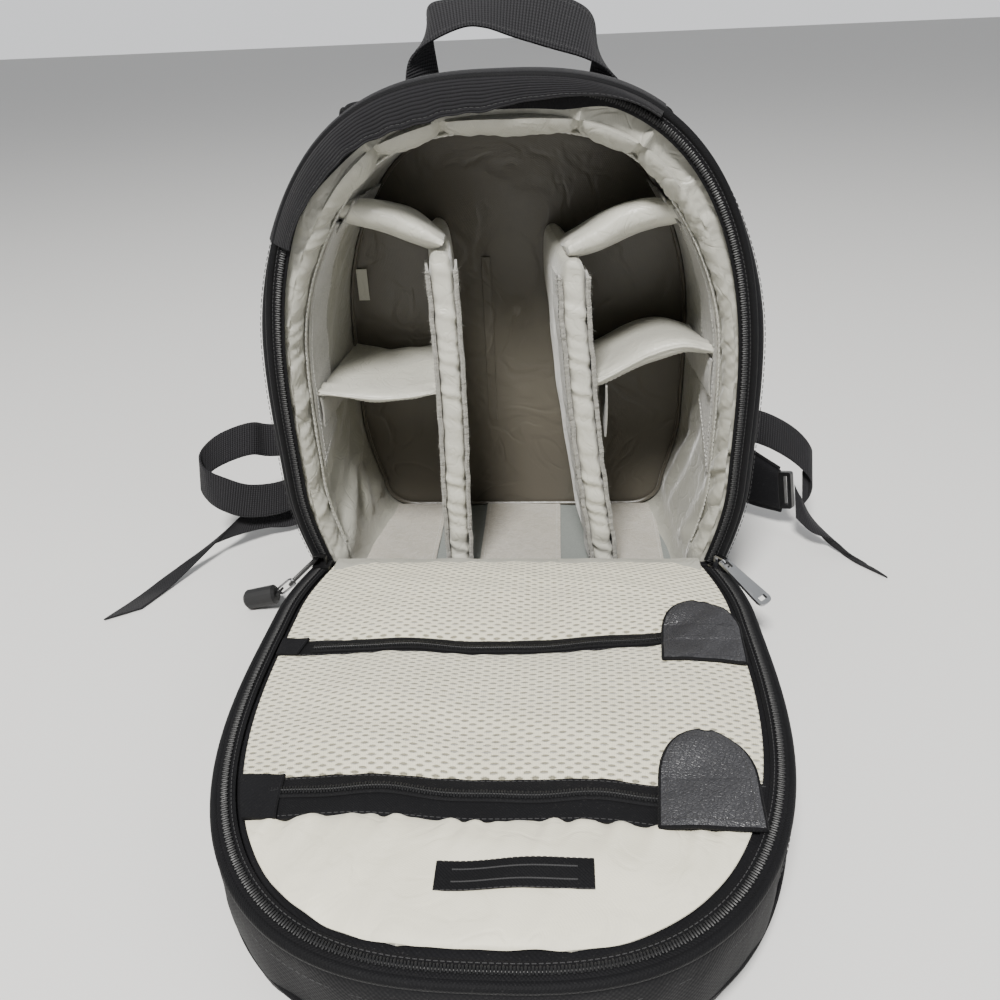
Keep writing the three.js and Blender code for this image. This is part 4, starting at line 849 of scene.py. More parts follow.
def make_lining():
    """Padded lining as a closed ring of closed profiles; the roll at the mouth puckers across its
    width, swells between the gather seams of the ceiling and sinks in a groove at each of them."""
    ring = full_ring(560, 10, 12)
    inner = smooth(LINING_INNER, 96)
    rows = np.concatenate([LINING_OUTER, inner])
    points = body_points(ring, rows[:, :4], rows[:, 4][None])
    around, depth = ring.length[:, None], rows[None, :, 0]
    up = np.where(ring.below, 0, ring.up)[:, None]
    inside = (np.arange(len(rows)) >= len(LINING_OUTER))[None]
    roll = step(-depth, 50, 56) * inside
    wall = (1 - roll) * inside * step(-depth, -46, -30)
    lean = around + (depth + 60) * 0.9
    patchy = 0.35 + 0.65 * np.clip(waves(around, 90, 18) * 0.5 + 0.5, 0, 1)
    pucker = (waves(lean, 12, 11) * 0.42 * patchy + waves(lean, 27, 12) * 0.7
              + waves(around - depth * 0.9, 8, 13) * 0.16)
    high = step(up, 225, 275)
    along = around - gather_lengths()[:, None, None]
    nearest = np.abs(along).min(0)
    groove = np.exp(-(nearest / 2.4) ** 2) * 3.2
    swell = (3.2 * (1 - np.exp(-(nearest / 10) ** 2)) + waves(around, 34, 14) * 0.8
             + waves(around + depth * 1.4, 15, 15) * 0.35)
    lift = roll * (pucker * (1.5 - 1.3 * high) + high * (swell - groove))
    deep = 0.8 + 1.3 * step(-up, -120, -50)
    hollows = waves(around + depth * 0.6, 46, 16) * 0.8 + waves(around * 0.4 + depth, 30, 17) * 0.6
    lift = lift + wall * deep * hollows
    lift = lift * np.where(ring.below[:, None], 0.15, 1.0)
    points = moved(points, lift, np.array([0.0, -40.0, 170.0]) - points)
    lining = piece("lining", [(outward(grid(points, wrap=True, joined=True)), "grey_satin")],
                   stands_for=["wall_padding", "floor_padding"], sharp=60)


def wall_at(share, y, lift):
    """Points on the inside of the lining, at shares of the zip line and depths y, lifted off it."""
    ring = Ring(np.ravel(share))
    depth = (np.ravel(y) - WALL_START_Y) / (WALL_END_Y - WALL_START_Y)
    side = -(WALL_FRONT + 0.9 + (WALL_BACK - WALL_FRONT - 0.9) * depth) - np.ravel(lift)
    crown = -(CEILING_ROLL + 2 * depth) - np.ravel(lift)
    offset = side + (crown - side) * step(ring.up, CROWN_START, CROWN_END)
    fall = CROWN_FALL * (np.ravel(y) - FRONT_Y) / BODY_DEPTH * ring.up / MOUTH_HEIGHT
    height = HINGE_HEIGHT + ring.up + ring.nz * offset - fall
    points = np.stack([ring.x + ring.nx * offset, np.ravel(y), height], 1)
    return points.reshape(*np.shape(share), 3)


def make_wall_seams():
    """Twisted seam cord between roll and wall, and a row of stitches in front of it."""
    shares = np.linspace(share_at(6), 1 - share_at(6), 700)
    cord = wall_at(shares, np.full(700, SEAM_Y), np.full(700, 0.3))
    ring = Ring(shares)
    inwards = unit(np.stack([-ring.nx, np.full(700, -0.4), -ring.nz], 1))
    front = wall_at(shares, np.full(700, SEAM_Y - 2.6), np.full(700, 0.7))
    parts = [(rope(cord, inwards, 1.9, 1.7, 8, twist=0.22, turns=1.6), "grey_satin"),
             (stitches(front, inwards, 3.1, 2.1, 0.5), "thread_grey")]
    piece("lining_seam", parts)


# Loop panels of the walls: whether on the left, heights above the hinge of the top and of the bottom
# in front and behind, last depth
WALL_LOOPS = {
    "wall_loop_right": (False, 236.0, 60.0, 96.0, -12.0),
    "wall_loop_left": (True, 232.0, 66.0, 84.0, -14.0),
}


def make_wall_loops():
    """Loop cloth sewn on the walls behind the seam cord, with a slanted lower end and sewn edges."""
    for name, (left, top, low_front, low_back, last) in WALL_LOOPS.items():
        t, v = np.meshgrid(np.linspace(0, 1, 90), np.linspace(0, 1, 16), indexing="ij")
        bottom = low_front + (low_back - low_front) * v
        share = share_at(top + (bottom - top) * t, left)
        y = SEAM_Y + 2.4 + (last - SEAM_Y - 2.4) * v
        lift = 1.5 + waves(t * 200 + v * 20, 42, 21) * 0.35 - 0.5 * (np.abs(2 * v - 1) ** 8)
        points = wall_at(share, y, lift)
        inward = unit(np.array([0.0, -60.0, 200.0]) - points)
        edges = []
        for place in (np.s_[:, 1], np.s_[:, -2], np.s_[-3]):
            sewn = stitches(points[place], inward[place], 3.0, 2.1, 0.55, 1.0)
            edges.append((sewn, "thread_grey"))
        rng = np.random.default_rng(5 if left else 6)
        spots = points[rng.integers(0, 90, 700), rng.choice([0, 15, 15], 700)]
        spots = spots + rng.normal(size=(700, 3)) * 0.5
        hairs = fibres(spots, same(inward[0, 0] * 0.4 + (0, 0.4, 0), 700), 2.6, 0.07, 8)
        piece(name.replace("wall_loop", "wall_loop_cloth"),
              [(slab(points, 1.4), "loop_fabric"), (hairs, "loop_fabric"), *edges],
              stands_for=[name])


def flat_sheet(low, high, left, right, y, rows):
    """Upright grid at one depth, between two heights and two distances from the middle."""
    z, x = np.meshgrid(np.linspace(low, high, rows), np.linspace(left, right, 5), indexing="ij")
    return np.stack([x, np.full_like(x, y), z], -1)


def make_back_lining():
    """Dark back wall: a disc of shrinking rings that swells forward, on a closed pad, with a piping
    along its edge, a faint strip and a small tab."""
    ring = full_ring(260, 12, 16)
    rows = np.array([(71, -6.5, -12, 9, 25), (66, 0.5, -6, 5.5, 25), (60, 4.6, -4, 4.2, 25),
                     (52, 6.2, -3.4, 3.6, 25), (50.2, 5.6, -4, 4.2, 25)], float)
    pad = body_points(ring, rows[:, :4], rows[:, 4][None])
    middle = np.array([0.0, 50.2, 180.0])
    shrink = np.linspace(1, 0.02, 46)[None, 1:, None]
    face = middle + (pad[:, -1:] - middle) * shrink
    reach = 1 - shrink[..., 0]
    slanted = face[..., 0] * 0.5 + face[..., 2] * 0.2
    ripple = waves(slanted, 60, 31) * 0.7 + waves(face[..., 2], 95, 32) * 0.8
    face[..., 1] -= 0.6 + reach ** 0.5 * (1.0 + ripple)
    points = np.concatenate([pad, face], 1)
    back = piece("back_lining", [(loft(points.transpose(1, 0, 2)), "dark_lining")],
                 stands_for=["back_padding"], sharp=50)
    edge_ring = full_ring(300, 16, 20)
    edge = body_points(edge_ring, [[47.4, -21.4, -25.6, 22.6]], np.array([[24.0]]))[:, 0]
    front = same(FORWARD, len(edge))
    strip = flat_sheet(96, 218, -23, -17, 47.6, 30)
    tab = flat_sheet(190, 212, -111, -104, 47.2, 8)
    piece("back_piping", [(rope(edge, front, 3.0, 2.8, 8, closed=True), "dark_lining"),
                          (slab(strip, 0.5), "dark_lining"), (slab(tab, 0.7), "divider_satin")])


# Loop panels of the floor: x of the left and of the right edge
FLOOR_LOOPS = {
    "floor_loop_left": (-116.0, -60.0), "floor_loop_centre": (-27.0, 30.0),
    "floor_loop_right": (64.0, 103.0),
}


def make_floor():
    """Nylon floor sheet and the three loop panels sewn on it, each a gently uneven slab."""
    y, x = np.meshgrid(np.linspace(46, -58, 40), np.linspace(-114, 114, 60), indexing="ij")
    z = FLOOR_TOP + 0.5 + waves(x + y * 0.4, 40, 41) * 0.25
    piece("floor_cloth", [(slab(np.stack([x, y, z], -1), 0.6), "floor_satin")])
    for seed, (name, (low, high)) in enumerate(FLOOR_LOOPS.items()):
        y, x = np.meshgrid(np.linspace(46, -59, 50), np.linspace(low, high, 26), indexing="ij")
        z = FLOOR_TOP + 1.7 + waves(x * 0.6 + y, 44, 50 + seed) * 0.35 - step(-y, 52, 59) * 1.2
        points = np.stack([x, y, z], -1)
        parts = [(slab(points, 1.4), "floor_loop")]
        for line in (points[:, 1], points[:, -2], points[-3]):
            parts.append((stitches(line, same(UPWARD, len(line)), 3.2, 2.2, 0.5, 0.8), "thread_grey"))
        piece(name.replace("floor_loop", "floor_loop_cloth"), parts, stands_for=[name])


# Dividers

# Side, top height, distances from the middle from foot to top
LONG_DIVIDERS = {
    "divider_long_left": (-1, 245.0, [39.9, 39.5, 39.2, 38.1, 37.5, 37.5, 37.8, 38.5]),
    "divider_long_right": (1, 239.2, [60.9, 57.4, 52.5, 48.3, 44.8, 42.0, 39.2, 38.1]),
}

# Shift to the left for each millimetre towards the back
LEAN = 0.13


def board(centres, thick_way, half_depth, half_thick, pinch, flat=0.5, square=0.3, sides=44):
    """Padded board: along its centre line a section whose depth is cos to a small power and whose
    thickness is sin to a larger one, thinned at the ends by the pinch."""
    angle = (np.arange(sides) + 0.5) * 2 * np.pi / sides
    depth = np.sign(np.cos(angle)) * np.abs(np.cos(angle)) ** square * half_depth
    thick = np.sign(np.sin(angle)) * np.abs(np.sin(angle)) ** flat * half_thick
    offset = np.stack([np.zeros(sides), depth, np.zeros(sides)], 1)[None]
    return centres[:, None] + offset + thick_way[:, None] * (thick[None] * pinch[:, None])[..., None], angle


def make_long_dividers():
    """Standing boards: the front edge gathers across its height, and a sewn loop strip with a frayed
    edge runs up each side just behind it."""
    for name, (side, top, across) in LONG_DIVIDERS.items():
        t = np.linspace(0, 1, 150)
        x = side * smooth(np.array(across)[:, None], 150)[:, 0]
        z = 23.5 + (top - 23.5) * t
        centres = np.stack([x, np.full(150, -1.4), z], 1)
        pinch = 0.35 + 0.65 * (1 - np.abs(2 * t - 1) ** 22) ** 0.5
        points, angle = board(centres, same([1.0, 0, 0], 150), 50.2, 7.9, pinch)
        front = step(-np.cos(angle), 0.35, 0.95)[None]
        tall = z[:, None]
        lap = np.sin(angle) * 5
        fold = waves(tall + lap, 7, 61) * 0.55 + waves(tall - lap, 17, 62) * 0.45
        lift = front * fold + (1 - front) * waves(tall + points[..., 1] * 0.7, 50, 63) * 0.6
        points = moved(points, lift, points - centres[:, None])
        points[..., 0] -= LEAN * (points[..., 1] + 48)
        parts = [(loft(points), "divider_satin")]
        rng = np.random.default_rng(64)
        for face in (-1, 1):
            shares = np.linspace(0.035, 0.955, 120)
            line = np.stack([np.interp(shares, t, x), np.interp(shares, t, z)], 1)
            v = np.linspace(0, 1, 8)[None]
            out = 8.9 + waves(line[:, 1:2] + face * 13, 26, 65) * 0.35 - 1.1 * (1 - v) ** 3
            strip = np.stack([line[:, :1] + face * out, np.broadcast_to(-48.2 + 24 * v, out.shape),
                              np.broadcast_to(line[:, 1:2], out.shape)], -1)
            strip[:, 0, 1] -= 1.2 + rng.normal(size=120) * 0.25
            strip[..., 0] -= LEAN * (strip[..., 1] + 48)
            way = same((face, -0.35, 0), 120)
            parts.append((slab(strip, 1.5), "loop_fabric"))
            parts.append((stitches(strip[:, 1], unit(way), 3.0, 2.1, 0.6, 0.9), "thread_dark"))
            hem = even(strip[:, 0] + (face * 0.3, -0.6, 0), 460)
            cord = rope(hem, same(FORWARD, 460), 3.0, 2.4, 6, twist=0.2, turns=3.2)
            parts.append((cord, "loop_fabric"))
            spots = strip[rng.integers(0, 120, 420), 0] + rng.normal(size=(420, 3)) * 0.4
            ends = strip[rng.integers(112, 120, 90), rng.integers(0, 3, 90)]
            way = same([face * 0.5, -0.7, 0.1], 510)
            parts.append((fibres(np.concatenate([spots, ends]), way, 2.8, 0.075, 66 + face), "loop_fabric"))
        made = piece(name.replace("divider", "divider_pad"), parts, stands_for=[name])


# Side, distance from the middle at the wall and at the divider, heights from wall to divider, half
# thickness, fall for each millimetre towards the back, whether it is a crowned shelf of the top
SHELVES = {
    "divider_top_left": (-1, 97.0, 36.5, [268.5, 267.5, 263, 256, 248.5], 9.2, 0.2, True),
    "divider_top_right": (1, 99.5, 36.0, [263, 263.5, 259, 250, 243.5], 9.8, 0.24, True),
    "divider_mid_left": (-1, 120.8, 46.3, [158.5, 155.5, 153.5, 154.5, 158], 3.9, 0.02, False),
    "divider_mid_right": (1, 119.5, 52.1, [181.5, 184.5, 179.5, 170.5, 161.5], 6.6, 0.16, False),
}


def make_shelves():
    """Padded shelves between wall and divider, thin and pinched at both ends, with radiating creases there;
    the two middle shelves get a piped front edge and a row of stitches below it."""
    for seed, (name, row) in enumerate(SHELVES.items()):
        side, wall, inner, heights, thick, tilt, crowned = row
        t = np.linspace(0, 1, 120)
        z = smooth(np.array(heights)[:, None], 120)[:, 0]
        x = side * (wall + (inner - wall) * t)
        centres = np.stack([x, np.full(120, 1.4), z], 1)
        slope = unit(np.gradient(centres, axis=0))
        rise = np.cross(slope, [0, 1.0, 0])
        rise = rise * np.sign(rise[:, 2:])
        pinch = 0.3 + 0.7 * np.clip(np.sin(np.pi * t), 0, 1) ** 0.42
        points, angle = board(centres, rise, 47.0, thick, pinch, 0.8, 0.42 if crowned else 0.3)
        lead = side * 0.075 * np.clip(1 - 2 * t, 0, 1)[:, None]
        points[..., 0] -= lead * (points[..., 1] - 1.4)
        ends = np.exp(-t * 9)[:, None] + np.exp(-(1 - t) * 9)[:, None]
        fan = waves(np.sin(angle)[None] * 16 + points[..., 1] * 0.9, 11, 70 + seed) * ends * 0.9
        broad = waves(x[:, None] + points[..., 1] * 0.5, 36, 75 + seed) * 0.7
        points = moved(points, fan + broad * pinch[:, None], points - centres[:, None])
        points[..., 0] -= LEAN * (points[..., 1] + 48) * t[:, None]
        points[..., 2] -= tilt * (points[..., 1] + 44)
        parts = [(loft(points), "divider_satin")]
        if not crowned:
            front = points[4:-4, np.argmin(np.abs(angle - np.pi))] + (0, -0.5, 0)
            low = points[4:-4, np.argmin(np.abs(angle - np.pi * 1.2))]
            sewn = stitches(low, same((0, -0.8, -0.4), len(low)), 3.0, 2.0, 0.45, 0.2)
            parts += [(rope(front, same(FORWARD, len(front)), 1.9, 1.7, 6), "divider_satin"),
                      (sewn, "thread_grey")]
        made = piece(name.replace("divider", "divider_pad"), parts, stands_for=[name])


# Tabs on the walls: side, height, drop, first and last depth
WALL_TABS = [(1, 178.0, -24.0, -46.0, 30.0), (-1, 156.0, -20.0, -44.0, 30.0),
             (1, 266.0, 20.0, -44.0, 30.0), (-1, 268.0, 22.0, -46.0, 30.0)]
# Tabs on the long dividers: side, distance from the middle, height, drop
DIVIDER_TABS = [(1, 59.0, 160.0, -34.0), (-1, -46.8, 156.0, -26.0)]


def make_shelf_tabs():
    """Loop tabs of the shelves: sheets that leave the end of the shelf and turn down the wall or up it."""
    parts = []
    rng = np.random.default_rng(81)
    for side, height, drop, first, last in WALL_TABS:
        t, v = np.meshgrid(np.linspace(0, 1, 14), np.linspace(0, 1, 20), indexing="ij")
        up = height - HINGE_HEIGHT + drop * t
        share = share_at(up, side < 0)
        lift = 2.9 + 0.8 * np.sin(t * 3) + waves(v * 76, 30, 82) * 0.4
        points = wall_at(share, first + (last - first) * v, lift)
        parts.append((slab(points, 1.1), "loop_fabric"))
        inward = same([-side * 1.0, -0.3, 0.0], 20)
        parts.append((stitches(points[2], unit(inward), 3.0, 2.0, 0.5, 0.8), "thread_grey"))
        spots = points[-1, rng.integers(0, 20, 120)]
        way = same((-side * 0.5, -0.5, 0.3 * np.sign(drop)), 120)
        parts.append((fibres(spots, way, 2.4, 0.07, 83), "loop_fabric"))
    for side, x, height, drop in DIVIDER_TABS:
        t, v = np.meshgrid(np.linspace(0, 1, 14), np.linspace(0, 1, 20), indexing="ij")
        points = np.stack([x + side * 0.6 * np.sin(t * 3), -46 + 76 * v, height + drop * t], -1)
        parts.append((slab(points, 1.1), "loop_fabric"))
    piece("shelf_tabs", parts)


# Zips, flap and piping

def make_body_zip():
    """Black tape round the mouth, a flat band on the ring, with the coil near its inner edge; under the flap
    the tape is widened inward as painted shade of the flap.
    """
    shares = np.linspace(share_at(2), 1 - share_at(2), 520)
    ring = Ring(shares)
    rows = [(-66.4, 2.4, 2.4, 0), (-67.5, 2.5, 2.5, 0), (-67.8, 0.5, 0.5, 0), (-67.9, -3.2, -3.2, 0),
            (-67.5, -5.6, -5.6, 0), (-66.4, -5.6, -5.6, 0), (-65.7, -3, -3, 0), (-65.7, 0, 0, 0)]
    points = body_points(ring, rows)
    # Over the crown, except its right end, the tape rows reach further in: this black band is the tape and
    # also the flap's shadow (painted shade).
    wide = np.array(rows, float)
    wide[4:6, 2] = -11.5
    under = (step(ring.up, 225, 270) * step(-ring.x, -62, -30))[:, None, None]
    points = points * (1 - under) + body_points(ring, wide) * under
    line = body_line(ring, -68.0, -2.2, -2.2, 0)
    front = same(FORWARD, 520)
    sewn = body_line(ring, -67.9, 0.9, 0.9, 0)
    piece("zip_body_tape", [(loft(points), "black_tape"),
                            (chain(line, front, 3.2), "zip_teeth"),
                            (rope(line + (0, 0.2, 0), front, 1.1, 1.0, 6), "zip_teeth"),
                            (stitches(sewn, front, 2.6, 1.8, 0.45), "thread_dark")],
          stands_for=["zip_body"])


def turned(part):
    """The part with the two directions of its UV map changed over."""
    return part[0], part[1], part[2][..., ::-1]


# Section of the flap from its sewn edge to its hem: depth, distance out from the zip line
FLAP_PROFILE = [(-44, 6.3), (-56, 6.6), (-63.5, 5.8), (-68.6, 2.8), (-70.8, -3.2), (-71.6, -10.4)]


def make_flap():
    """Ribbed flap: it leaves the shell behind the mouth, turns over the edge and hangs in waves over
    the zip, and narrows to nothing towards its right end."""
    first, last = share_at(272), 1 - share_at(214)
    shares = np.linspace(first, last, 460)
    ring = Ring(shares)
    profile = smooth(FLAP_PROFILE, 38)
    around = ring.length[:, None]
    start = around - around[0]
    wide = step(start, 4, 110) * (1 - 0.55 * step(around[-1] - around, 95, 0))
    reach = np.clip((2.8 - profile[None, :, 1]) / 13.2, 0, 1)
    hem = waves(around, 58, 91) * 1.6 + waves(around, 24, 92) * 0.7
    offset = profile[None, :, 1] - reach * (hem + 2.4) * wide + (1 - wide) * reach * 11.0
    y = profile[None, :, 0] - reach * (1.4 + waves(around, 30, 93) * 0.9) * wide
    fall = CROWN_FALL * (y - FRONT_Y) / BODY_DEPTH * ring.up[:, None] / MOUTH_HEIGHT
    low = (1 - step(ring.up, CROWN_START, CROWN_END))[:, None]
    offset = offset + low * np.clip(profile[None, :, 1] - 2, 0, 5)
    points = np.stack([ring.x[:, None] + ring.nx[:, None] * offset, y,
                       HINGE_HEIGHT + ring.up[:, None] + ring.nz[:, None] * offset - fall], -1)
    hem_line = points[:, -3]
    front = same(FORWARD, 460)
    flap = piece("flap", [(turned(slab(points, 1.1)), "flap_ribbed"),
                          (stitches(hem_line, front, 3.0, 2.1, 0.5, 0.6), "thread_dark")],
                 stands_for=["rain_flap"])


# Lid

# Share of the bulge, distance from the hinge at the hinge side, depth from the zip plane to the floor
LID_SECTIONS = [
    (0.22, 2, 0), (0.58, 2, 0.07), (0.66, 3, 0.35), (0.5, 5, 0.72), (-0.3, 10, 0.93), (-1.6, 22, 1),
]


def lid_rows(count, inward):
    side, start, depth = smooth(LID_SECTIONS, count).T
    depth = np.clip(depth, 0, 1)
    return np.stack([LID_BULGE * side - inward, start + inward, depth, inward * depth], 1)


def make_lid_shell():
    """Tray of the lid: outer and inner skins in one closed loft, with soft dents in its side wall,
    a piping along its edge and a sewn line below it."""
    ring = full_ring(240)
    outer_rows = 44
    rows = np.concatenate([lid_rows(outer_rows, 0)[::-1], lid_rows(14, SHELL_WALL)])
    points = lid_points(ring, rows)
    around, depth = ring.length[:, None], rows[None, :, 2]
    outside = np.arange(len(rows))[None] < outer_rows
    dent = waves(around + depth * 25, 60, 101) * 0.9 + waves(around - depth * 12, 22, 102) * 0.35
    dent = dent * outside * step(depth, 0.02, 0.3) * step(-depth, -0.95, -0.7)
    points = moved(points, dent * ~ring.below[:, None], points - np.array([0, -210.0, 30.0]))
    points[..., 2] = np.maximum(points[..., 2], 0)
    piece("lid_cloth", [(loft(points.transpose(1, 0, 2)), "black_fabric")],
          stands_for=["lid_shell"])
    shares = np.linspace(0.01, 0.99, 460)
    ring = Ring(shares)
    edge = lid_line(ring, 3.6, 2, 0, -0.2)
    low = lid_line(ring, 5.2, 3, 0.62, 0)
    sewn = lid_line(ring, 5.7, 3, 0.2, 0)
    up = same(LID_UPWARD, 460)
    away = np.stack([ring.nx, -ring.nz, np.zeros(460)], 1)
    piece("lid_piping", [
        (rope(edge, up, 5.0, 4.6, 10), "black_tape"), (rope(low, away, 3.0, 2.6, 8), "black_tape"),
        (stitches(sewn, away, 3.4, 2.4, 0.55), "thread_dark")])


def make_lid_zip():
    """Tape and coil round the lid, lying on the zip plane."""
    shares = np.linspace(share_at(4), 1 - share_at(4), 560)
    ring = Ring(shares)
    rows = [(2.6, 2, 0, 0.4), (2.6, 2, 0, 1.8), (0.5, 2, 0, 2.3), (-3.4, 2, 0, 2.3), (-5.6, 2, 0, 1.7),
            (-5.6, 2, 0, 0.4), (-3, 2, 0, 0), (0, 2, 0, 0)]
    points = lid_points(ring, rows)
    up = same(LID_UPWARD, 560)
    line = lid_line(ring, -0.9, 2, 0, 2.4)
    sewn = lid_line(ring, -3.9, 2, 0, 2.3)
    piece("zip_lid_tape", [(loft(points), "black_tape"),
                           (chain(line, up, 3.2), "zip_teeth"),
                           (rope(line - (0, 0, 0.2), up, 1.1, 1.0, 6), "zip_teeth"),
                           (stitches(sewn, up, 2.6, 1.8, 0.45), "thread_dark")],
          stands_for=["zip_lid"])


def make_lid_pad():
    """Padded black bed of the lid: rings that step in from the shell, round at the top edge."""
    ring = full_ring(200)
    rows = [(-1.4, 5, 0, -11), (-0.2, 4.2, 0, -6), (-0.4, 4.4, 0, -2.6), (-1.4, 5.2, 0, -1.2),
            (-3, 6.6, 0, -0.7), (-6, 9, 0, -0.6)]
    points = lid_points(ring, rows)
    pad = piece("lid_bed", [(loft(points.transpose(1, 0, 2)), "black_fabric")],
                stands_for=["lid_pad"])


INSET = OUTLINE - np.stack([SLOPE[:, 1], -SLOPE[:, 0]], 1) * POCKET_INSET


def inset_half(along):
    return np.interp(along, INSET[:, 1], INSET[:, 0])


def on_lid(x, along, height):
    """Points on the lid at x, a distance from the hinge and a height above the zip plane."""
    return np.stack([x, FRONT_Y + 1 - along * LID_STRETCH, lid_height(along) + height], -1)


# Middle of each zip band from left to right: x, distance from the hinge
UPPER_BAND = [(-131, 98.5), (-100, 97.5), (-60, 94), (-20, 97), (20, 95.5), (60, 90.5), (100, 85),
              (131, 84)]
LOWER_BAND = [(-131, 210), (-100, 209.5), (-60, 206), (-10, 208.5), (40, 207), (80, 210), (131, 209)]
UPPER_HALF = 6.5
LOWER_HALF = 12.0


def band_line(table, x):
    line = smooth(table, 200)
    return np.interp(x, line[:, 0], line[:, 1])


def panel_height(x, along, start, end, bulge, seed):
    """Pillow: 1 - x^4 across times the root of a sine along, with wide soft waves on it."""
    across = np.clip(np.abs(x) / inset_half(along), 0, 1)
    length = np.clip((along - start) / (end - start), 0, 1)
    crown = (1 - across ** 4) * np.sqrt(np.sin(np.pi * length))
    ripple = waves(x + along * 0.3, 75, seed) * 1.1 + waves(along * 1.2 - x * 0.25, 42, seed + 1) * 0.7
    return 0.9 + (bulge + ripple) * crown


# Bulge of each pillow and seed of its waves
POCKET_CLOTHS = {
    "mesh_pocket_upper": (6.5, 111), "mesh_pocket_lower": (6.8, 113), "satin_panel": (4.6, 115),
}


def panel_edges(name, x):
    """Distances from the hinge of a panel's first and last edge, at x."""
    if name == "mesh_pocket_upper":
        return np.full_like(x, 3.0), band_line(UPPER_BAND, x) - UPPER_HALF
    if name == "mesh_pocket_lower":
        return band_line(UPPER_BAND, x) + UPPER_HALF, band_line(LOWER_BAND, x) - LOWER_HALF
    return band_line(LOWER_BAND, x) + LOWER_HALF, np.full_like(x, 279.5)


def panel_grid(name, rows, columns):
    """Grid over a panel: t runs from its first to its last edge, v from the left to the right."""
    t, v = np.meshgrid(np.linspace(0, 1, rows), np.linspace(-1, 1, columns), indexing="ij")
    x = v * 130.0
    for _ in range(3):
        start, end = panel_edges(name, x)
        along = start + (end - start) * t
        x = v * inset_half(along)
    start, end = panel_edges(name, x)
    return x, start + (end - start) * t, start, end


def make_pockets():
    """The two mesh pockets and the satin panel: pillows on the lid, their edges drawn down; the satin
    gathers in creases that fade away from the zip band."""
    for name, (bulge, seed) in POCKET_CLOTHS.items():
        x, along, start, end = panel_grid(name, 110, 150)
        height = panel_height(x, along, start, end, bulge, seed)
        if name == "satin_panel":
            near = np.exp(-(along - start) / 14)
            gathers = waves(x + (along - start) * 0.35, 12, 117) * 1.1 + waves(x, 26, 118) * 0.9
            wide_waves = waves(x * 0.9 + along * 0.5, 30, 119) * 0.75
            height = height + near * gathers + wide_waves * np.clip((along - start) / 20, 0, 1)
        else:
            near = np.exp(-np.minimum(along - start, end - along) / 5)
            height = height + near * waves(x, 19, seed + 4) * 0.5
        cloth = "cream_satin" if name == "satin_panel" else "air_mesh"
        points = on_lid(x, along, height)
        part = slab(points, 1.2)
        made = piece(name.replace("pocket", "pocket_cloth").replace("satin_panel", "satin_cloth"),
                     [(part if name == "satin_panel" else turned(part), cloth)],
                     stands_for=[name])


# Middle of the band, half its width, shift and sway of its coil, where the coil ends
POCKET_ZIPS = {
    "pocket_zip_upper": (UPPER_BAND, UPPER_HALF, 0.5, 0.9, 102),
    "pocket_zip_lower": (LOWER_BAND, LOWER_HALF, -3.0, 2.4, 96),
}


def make_pocket_zips():
    """Zip bands between the panels: tape across the lid, coil along its upper third, sewn edges and a
    folded end tab."""
    for name, (table, half, shift, sway, coil_end) in POCKET_ZIPS.items():
        t, v = np.meshgrid(np.linspace(-1, 1, 16), np.linspace(-1, 1, 200), indexing="ij")
        x = v * 130.5
        for _ in range(3):
            along = band_line(table, x) + t * (half + 0.6)
            x = v * (inset_half(along) + 1.5)
        along = band_line(table, x) + t * (half + 0.6)
        height = 1.7 + waves(x, 60, 121) * 0.5 - 0.5 * np.abs(t) ** 3
        points = on_lid(x, along, height)
        reach = np.linspace(-112, coil_end, 320)
        middle = band_line(table, reach) + shift + waves(reach, 80, 123) * sway
        line = on_lid(reach, middle, 2.3 + waves(reach, 60, 121) * 0.5)
        up = same(LID_UPWARD, 320)
        ridge = on_lid(reach, middle + 3.6, 2.6 + waves(reach, 60, 121) * 0.5)
        parts = [(slab(points, 1.2), "black_tape"), (chain(line, up, 3.8), "zip_teeth"),
                 (rope(line + (0, 0, 0.3), up, 0.9, 1.5, 6), "zip_teeth"),
                 (rope(ridge, up, 2.2, 1.4, 6), "black_tape")]
        for edge in (1, -2):
            sewn = stitches(points[edge], same(UPWARD, 200), 2.9, 2.0, 0.45, 0.6)
            parts.append((sewn, "thread_dark"))
        t, v = np.meshgrid(np.linspace(-1, 1, 10), np.linspace(0, 1, 10), indexing="ij")
        foot = -inset_half(band_line(table, -130.0) + t * half) - 0.8
        x = foot + (8 + half * 0.75 - t * half * 0.25) * v
        tab = on_lid(x, band_line(table, x) + t * (half + 0.9), 3.0 + 0.3 * waves(x, 14, 124))
        parts += [(slab(tab, 1.3), "black_fabric"),
                  (rope(tab[:, -1], same(UPWARD, 10), 2.0, 1.8, 6), "black_fabric")]
        piece(name + "_tape", parts, stands_for=[name])


# Patches, label

# Distance of the foot from the hinge, distance of its middle from the lid's middle
PATCHES = {"leather_patch_upper": (111.0, 108.0), "leather_patch_lower": (224.0, 94.0)}


def ground(x, along):
    """Height of the pockets and zip bands below a point of the lid."""
    result = np.full(np.shape(x), 2.3)
    for name, (bulge, seed) in POCKET_CLOTHS.items():
        start, end = panel_edges(name, x)
        inside = (along > start) & (along < end)
        result = np.where(inside, panel_height(x, along, start, end, bulge, seed), result)
    return result + 0.6


